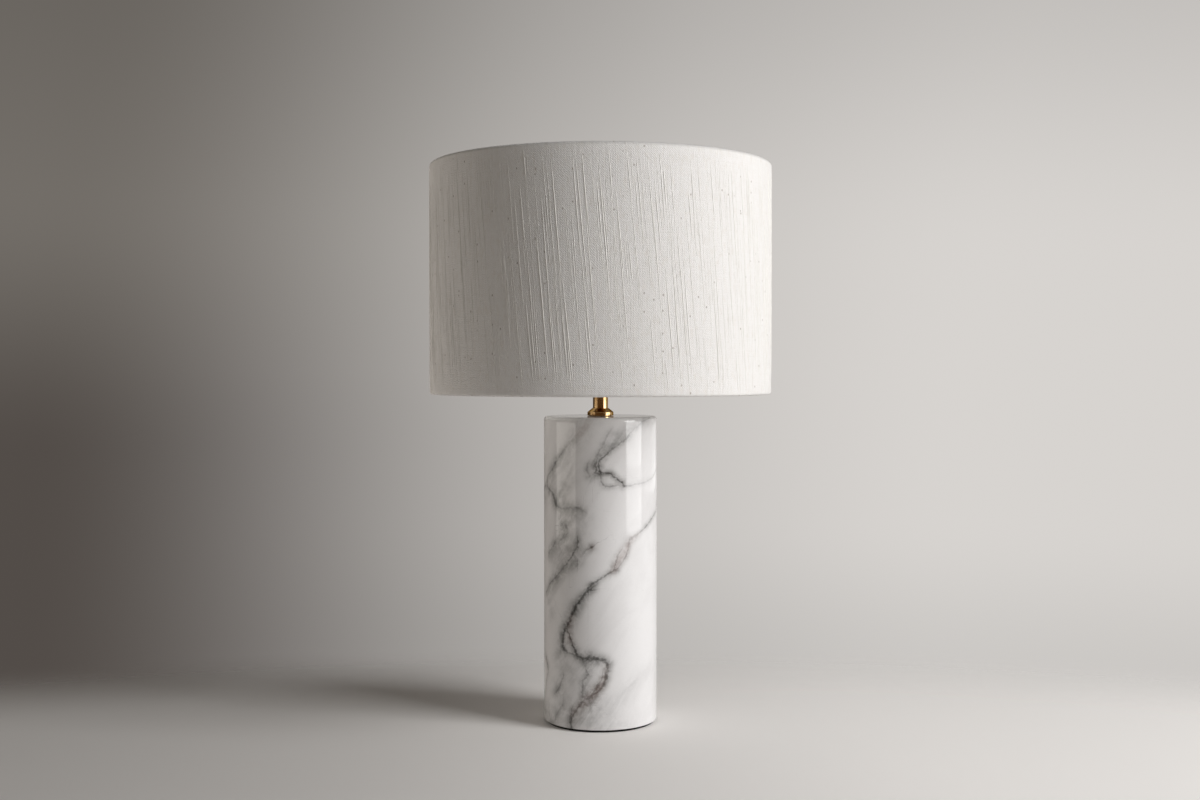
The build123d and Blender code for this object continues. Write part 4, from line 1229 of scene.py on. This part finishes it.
def slub_tree():
    """Uneven thick yarns strewn over a drum: straight up the cloth with a lean, tapering at both ends."""
    sizes = (
        "Drum Radius", "Foot", "Height", "Least Length", "Most Length", "Least Radius", "Most Radius",
        "Sink", "Lean", "Lean Spread", "Wander",
    )
    graph, given, out = new_tree(
        "slub_yarns",
        "GeometryNodeTree",
        {"Count": "Int", **dict.fromkeys(sizes, "Float"), "Seed": "Int", "Material": "Material"},
        {"Geometry": "Geometry"},
    )

    def drawn(low, high, number):
        inputs = {2: low, 3: high, 8: graph.plus(given["Seed"], float(number))}
        return graph.add("FunctionNodeRandomValue", inputs, data_type="FLOAT").outputs[1]

    share = graph.math("POWER", drawn(0.0, 1.0, 1), slub_length_bias)
    length = graph.span(share, given["Least Length"], given["Most Length"])
    share = graph.math("POWER", drawn(0.0, 1.0, 2), slub_radius_bias)
    radius = graph.span(share, given["Least Radius"], given["Most Radius"])
    girth = graph.times(given["Drum Radius"], 2 * math.pi)
    centre = graph.plus(given["Foot"], graph.times(given["Height"], drawn(0.0, 1.0, 3)))
    half = graph.times(length, 0.5)
    low_end = graph.math("MAXIMUM", graph.minus(centre, half), given["Foot"])
    top = graph.plus(given["Foot"], given["Height"])
    high_end = graph.math("MINIMUM", graph.plus(centre, half), top)
    length = graph.minus(high_end, low_end)
    middle = graph.times(graph.plus(low_end, high_end), 0.5)
    number = graph.plus(graph.add("GeometryNodeInputIndex").outputs[0], drawn(0.0, 1.0, 4))
    round_place = graph.times(girth, graph.math("DIVIDE", number, given["Count"]))
    inputs = {"Count": given["Count"], "Position": graph.join(round_place, 0.0, middle)}
    spots = graph.add("GeometryNodePoints", inputs).outputs[0]
    inputs = {"Geometry": spots, "Name": "slub_radius", "Value": radius}
    settings = {"data_type": "FLOAT", "domain": "POINT"}
    spots = graph.add("GeometryNodeStoreNamedAttribute", inputs, **settings).outputs[0]
    lean = graph.plus(given["Lean"], graph.times(drawn(-1.0, 1.0, 5), given["Lean Spread"]))
    turn = graph.add("FunctionNodeEulerToRotation", {0: graph.join(0.0, lean, 0.0)}).outputs[0]
    inputs = {"Start": (0, 0, -0.5), "End": (0, 0, 0.5)}
    line = graph.add("GeometryNodeCurvePrimitiveLine", inputs).outputs[0]
    long_scale = graph.join(1.0, 1.0, length)
    inputs = {"Points": spots, "Instance": line, "Rotation": turn, "Scale": long_scale}
    yarns = graph.add("GeometryNodeInstanceOnPoints", inputs).outputs[0]
    yarns = graph.add("GeometryNodeRealizeInstances", {"Geometry": yarns}).outputs[0]
    yarns = graph.add("GeometryNodeResampleCurve", {"Curve": yarns, "Count": slub_points}).outputs[0]

    place = graph.add("GeometryNodeInputPosition").outputs[0]
    sway = graph.times(graph.swing(place, scale=34.0), given["Wander"])
    x, _, z = graph.split(place)
    inputs = {"Name": "slub_radius"}
    kept_radius = graph.add("GeometryNodeInputNamedAttribute", inputs, data_type="FLOAT").outputs[0]
    angle = graph.math("DIVIDE", graph.plus(x, sway), given["Drum Radius"])
    depth = graph.minus(given["Drum Radius"], graph.times(kept_radius, given["Sink"]))
    out_x = graph.times(graph.math("SINE", angle), depth)
    out_y = graph.times(graph.math("COSINE", angle), graph.times(depth, -1.0))
    inputs = {"Geometry": yarns, "Position": graph.join(out_x, out_y, z)}
    yarns = graph.add("GeometryNodeSetPosition", inputs).outputs[0]

    along = graph.add("GeometryNodeSplineParameter").outputs["Factor"]
    taper = graph.math("MAXIMUM", graph.math("SINE", graph.times(along, math.pi)), slub_tip)
    taper = graph.math("POWER", taper, slub_taper)
    uneven = graph.span(graph.noise(place, scale=60.0, detail=2.0), *slub_unevenness)
    scale = graph.times(graph.times(kept_radius, taper), uneven)
    inputs = {"Resolution": slub_sides, "Radius": 1.0}
    section = graph.add("GeometryNodeCurvePrimitiveCircle", inputs).outputs[0]
    inputs = {"Curve": yarns, "Profile Curve": section, "Scale": scale, "Fill Caps": True}
    yarns = graph.add("GeometryNodeCurveToMesh", inputs).outputs[0]
    yarns = graph.add("GeometryNodeRealizeInstances", {"Geometry": yarns}).outputs[0]
    yarns = graph.add("GeometryNodeSetShadeSmooth", {"Geometry": yarns}).outputs[0]
    inputs = {"Geometry": yarns, "Material": given["Material"]}
    graph.put(out["Geometry"], graph.add("GeometryNodeSetMaterial", inputs).outputs[0])
    return graph.tree


def grown(name, tree, values):
    """The plain mesh that a tree makes with these values for its named inputs."""
    seedling = add_object(name, bpy.data.meshes.new(name))
    modifier = seedling.modifiers.new(name, "NODES")
    modifier.node_group = tree
    for socket in tree.interface.items_tree:
        if socket.item_type == "SOCKET" and socket.in_out == "INPUT":
            modifier[socket.identifier] = values[socket.name]
    ready = seedling.evaluated_get(bpy.context.evaluated_depsgraph_get())
    mesh = bpy.data.meshes.new_from_object(ready)
    bpy.data.objects.remove(seedling)
    mesh.name = name
    return mesh


def shade_slubs():
    """The thick yarns that stand up from the cloth."""
    yarn = linen_yarn()
    values = {
        "Count": slub_count,
        "Drum Radius": shade_radius,
        "Foot": hem_low,
        "Height": hem_high - hem_low,
        "Least Length": slub_lengths[0],
        "Most Length": slub_lengths[1],
        "Least Radius": slub_radii[0],
        "Most Radius": slub_radii[1],
        "Sink": slub_sink,
        "Lean": slub_lean,
        "Lean Spread": slub_lean_spread,
        "Wander": slub_wander,
        "Seed": slub_seed,
        "Material": yarn,
    }
    mesh = grown("shade_slubs", slub_tree(), values)
    return place_piece("shade_slubs", mesh, yarn, "shade")


def shade_liner(materials):
    """The stiff sheet behind the cloth."""
    outer = liner_high.x
    inner = outer - liner_thickness
    outline = [
        (inner, liner_low.z),
        (outer, liner_low.z),
        *rise(outer, liner_low.z, liner_high.z, liner_row),
        (outer, liner_high.z),
        (inner, liner_high.z),
        *rise(inner, liner_high.z, liner_low.z, liner_row),
    ]
    mesh = smooth(turned_mesh("shade_liner", outline, even_turns(shade_turns)))
    sheet = materials["shade_liner"]
    return place_piece("shade_liner_sheet", mesh, sheet, "shade", "shade_liner")


# Lampholder and bulb cap

def helix_depth(outline, turns, pitch, low, high, radius, depth, form):
    """What a thread takes off the radius, for each turn and outline point between two heights."""
    points = np.array(outline)
    height = points[:, 1]
    phase = np.mod(height[None, :] / pitch - np.array(turns)[:, None] / (2 * math.pi), 1.0)
    fade = np.clip(np.minimum(height - low, high - height) / pitch, 0, 1)
    on_wall = points[:, 0] > radius - thread_reach
    return -depth * form(phase) * (fade * on_wall)[None, :]


def sharp_thread(phase):
    return 1 - np.abs(2 * phase - 1)


def rolled_thread(phase):
    return 0.5 - 0.5 * np.cos(2 * math.pi * phase)


def holder_barrel(materials):
    """The lampholder's outer tube: a thread above its shoulder, a ledge inside and the switch holes."""
    inner = barrel_inner
    top = barrel_high.z
    thread_top = top - barrel_round
    thread_row = barrel_pitch / thread_steps
    outline = [
        (inner, barrel_low.z),
        (barrel_radius, barrel_low.z),
        (barrel_radius, shoulder_foot),
        *arc((shoulder_radius - barrel_round, shoulder_foot + barrel_round), barrel_round, -90, 0, steps=4),
        (shoulder_radius, shade_seat),
        (barrel_radius, shade_seat),
        *rise(barrel_radius, shade_seat, thread_top, thread_row),
        *arc((barrel_radius - barrel_round, thread_top), barrel_round, 0, 90, steps=4),
        (inner, top),
        (inner, insulator_foot),
        (ledge_radius, insulator_foot),
        (ledge_radius, ledge_foot),
        (inner, ledge_foot),
    ]
    turns = even_turns(thread_turns)
    thread = helix_depth(
        outline, turns, barrel_pitch, shade_seat, thread_top,
        barrel_radius, barrel_thread_depth, sharp_thread,
    )
    mesh = turned_mesh("holder_barrel", outline, turns, thread)
    hole = (guide_high.z - guide_low.z) / 2 + guide_fit
    guide_level = (guide_low.z + guide_high.z) / 2
    across = Matrix.Translation((0, 0, guide_level)) @ Matrix.Rotation(math.radians(90), 4, "Y")
    beyond = shoulder_radius * 1.2
    switch_hole = [(0, -beyond), (hole, -beyond), (hole, beyond), (0, beyond)]
    mesh = smooth(cut(mesh, [cutter(switch_hole, across)]), sharp_degrees=30.0)
    return place_piece("holder_barrel", mesh, materials["brass"], "lamp_base", "lampholder_barrel")


def bulb_cap(materials):
    """The bulb's screw cap: a rolled thread between a cone and a plain skirt."""
    inner = cap_radius - cap_wall
    thread_foot = cap_low.z + cap_cone
    thread_top = cap_high.z - cap_skirt
    thread_row = cap_pitch / (2 * thread_steps)
    outline = [
        (cap_lip, cap_low.z),
        (cap_lip + cap_wall, cap_low.z),
        (cap_radius, thread_foot),
        *rise(cap_radius, thread_foot, cap_high.z, thread_row),
        (cap_radius, cap_high.z),
        (inner, cap_high.z),
        *rise(inner, cap_high.z, thread_foot, thread_row),
        (inner, thread_foot),
    ]
    turns = even_turns(thread_turns)
    thread = helix_depth(
        outline, turns, cap_pitch, thread_foot, thread_top,
        cap_radius, cap_thread_depth, rolled_thread,
    )
    mesh = smooth(turned_mesh("bulb_cap", outline, turns, thread))
    nickel = materials["bulb_metal"]
    return place_piece("bulb_cap_threaded", mesh, nickel, "bulb", "bulb_screw_cap")


def dress_frame(materials):
    """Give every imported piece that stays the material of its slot."""
    for entry in frame["record"]["subparts"]:
        if entry["material_slot"] in materials:
            surfaces = cad[entry["node"]].data.materials
            surfaces.clear()
            surfaces.append(materials[entry["material_slot"]])


# Stage

def studio_floor():
    """A pale floor that fades into the backdrop. It is darker to the left as painted shade, and only the
    camera sees a painted light on its right.
    """
    build = bmesh.new()
    bmesh.ops.create_circle(build, cap_ends=True, segments=96, radius=floor_radius)
    mesh = bpy.data.meshes.new("floor")
    build.to_mesh(mesh)
    build.free()
    constants = {"Specular IOR Level": 0.2, "Roughness": 0.85, "Emission Color": floor_painted_light}
    material, graph, shader, place = new_material("floor_paper", constants)
    sideways = graph.split(place)["X"]
    # Painted shade: the paper is darker to the left
    paper_and_painted_shade = graph.blend(graph.step(sideways, *floor_pale_reach), floor_painted_shade, floor_pale)
    fibre = graph.span(graph.noise(place, scale=900.0, detail=3.0), 0.0, floor_fibre_share)
    graph.put(shader["Base Color"], graph.blend(fibre, paper_and_painted_shade, floor_fibre))
    # Painted light on the right of the floor, seen only by the camera
    seen = graph.add("ShaderNodeLightPath").outputs["Is Camera Ray"]
    graph.put(shader["Emission Strength"], graph.times(seen, graph.step(sideways, *floor_painted_light_reach)))
    offset = graph.add("ShaderNodeVectorMath", {0: place, 1: floor_middle}, operation="SUBTRACT").outputs[0]
    away = graph.add("ShaderNodeVectorMath", {0: graph.stretch(offset, floor_stretch)}, operation="LENGTH")
    graph.put(shader["Alpha"], graph.step(away.outputs["Value"], *floor_fade))
    mesh.materials.append(material)
    floor = add_object("floor", mesh)


def studio_world():
    """A pale backdrop with painted shade, darker to the left, more so low on the left, darker above and
    near the floor, with a brown room before it for mirrored rays, an even soft light, and a glow from the
    left behind the lamp."""
    world = bpy.data.worlds.new("studio")
    world.use_nodes = True
    graph = Graph(world.node_tree)
    background = world.node_tree.nodes["Background"]
    direction = graph.add("ShaderNodeTexCoord").outputs["Generated"]
    sideways, ahead, up = graph.split(direction)
    # Painted shade on the backdrop, darker to the left and more so low on the left
    shaded = graph.blend(graph.step(up, *backdrop_low_painted_shade_reach), backdrop_painted_shade, backdrop_low_painted_shade)
    pale = graph.blend(graph.step(up, *backdrop_foot_reach), backdrop_pale, backdrop_low_pale)
    leaning = graph.times(graph.math("MAXIMUM", up, 0.0), backdrop_lean)
    across = graph.minus(sideways, leaning)
    near = graph.times(graph.step(across, *backdrop_reach), 1.0 - backdrop_far_share)
    far = graph.times(graph.step(across, *backdrop_far_reach), backdrop_far_share)
    backdrop = graph.blend(graph.plus(near, far), shaded, pale)
    # Painted shade: the backdrop is darker above
    above = graph.times(graph.step(up, *backdrop_top_reach), backdrop_top_share)
    backdrop = graph.blend(above, backdrop, studio_dark)
    behind = graph.blend(mirrored_share, studio_dark, backdrop)
    mirrored = graph.blend(graph.step(ahead, *room_reach), room_brown, behind)

    inputs = {0: direction, 1: side_glow_way}
    beside = graph.add("ShaderNodeVectorMath", inputs, operation="DOT_PRODUCT").outputs["Value"]
    level = graph.step(graph.math("ABSOLUTE", up), *side_glow_height)
    glow = graph.times(level, graph.step(beside, *side_glow_reach))
    ambient = graph.blend(graph.step(up, *ambient_top_reach), ambient_colour, ambient_top)
    ambient = graph.blend(glow, ambient, side_glow)
    rays = graph.add("ShaderNodeLightPath").outputs
    light = graph.blend(rays["Is Glossy Ray"], ambient, mirrored)
    seen = graph.math("MAXIMUM", rays["Is Camera Ray"], rays["Is Transmission Ray"])
    graph.put(background.inputs["Color"], graph.blend(seen, light, backdrop))
    bpy.context.scene.world = world


def soft_panel(name, turn, distance, width, foot, top, brightness, colour):
    """An upright soft light that faces the lamp."""
    light = bpy.data.lights.new(name, "AREA")
    light.shape = "RECTANGLE"
    light.size = width
    light.color = colour
    light.size_y = top - foot
    light.energy = brightness * math.pi * width * (top - foot)
    panel = add_object(name, light)
    angle = math.radians(turn)
    panel.location = (distance * math.sin(angle), -distance * math.cos(angle), (foot + top) / 2)
    panel.rotation_euler = (math.radians(90), 0, angle)
    panel.visible_camera = False


def drum_light():
    """The little light that the linen lets through: a faint disc in the top of the drum, shining down."""
    light = bpy.data.lights.new("drum_light", "AREA")
    light.shape = "DISK"
    light.size = 2 * drum_light_radius
    light.energy = drum_light_brightness * (math.pi * drum_light_radius) ** 2
    disc = add_object("drum_light", light)
    disc.location.z = hem_high
    disc.visible_camera = False


def photo_camera():
    data = bpy.data.cameras.new("camera")
    data.sensor_width = sensor_width
    data.lens = focal_length_pixels / photo_width * sensor_width
    camera = add_object("camera", data)
    camera.location = (-eye_left, -eye_distance, eye_height)
    camera.rotation_euler = (math.radians(90) - eye_tilt, 0, 0)
    bpy.context.scene.camera = camera


materials = made_materials()
dress_frame(materials)
marble_column()
foot_pad(materials)
cloth = shade_cloth(materials)
slubs = shade_slubs()
shade_liner(materials)
holder_barrel(materials)
bulb_cap(materials)

studio_floor()
studio_world()
for panel_name, panel_values in light_panels.items():
    soft_panel(panel_name, *panel_values)
drum_light()
photo_camera()
bpy.context.scene.view_settings.view_transform = "Standard"
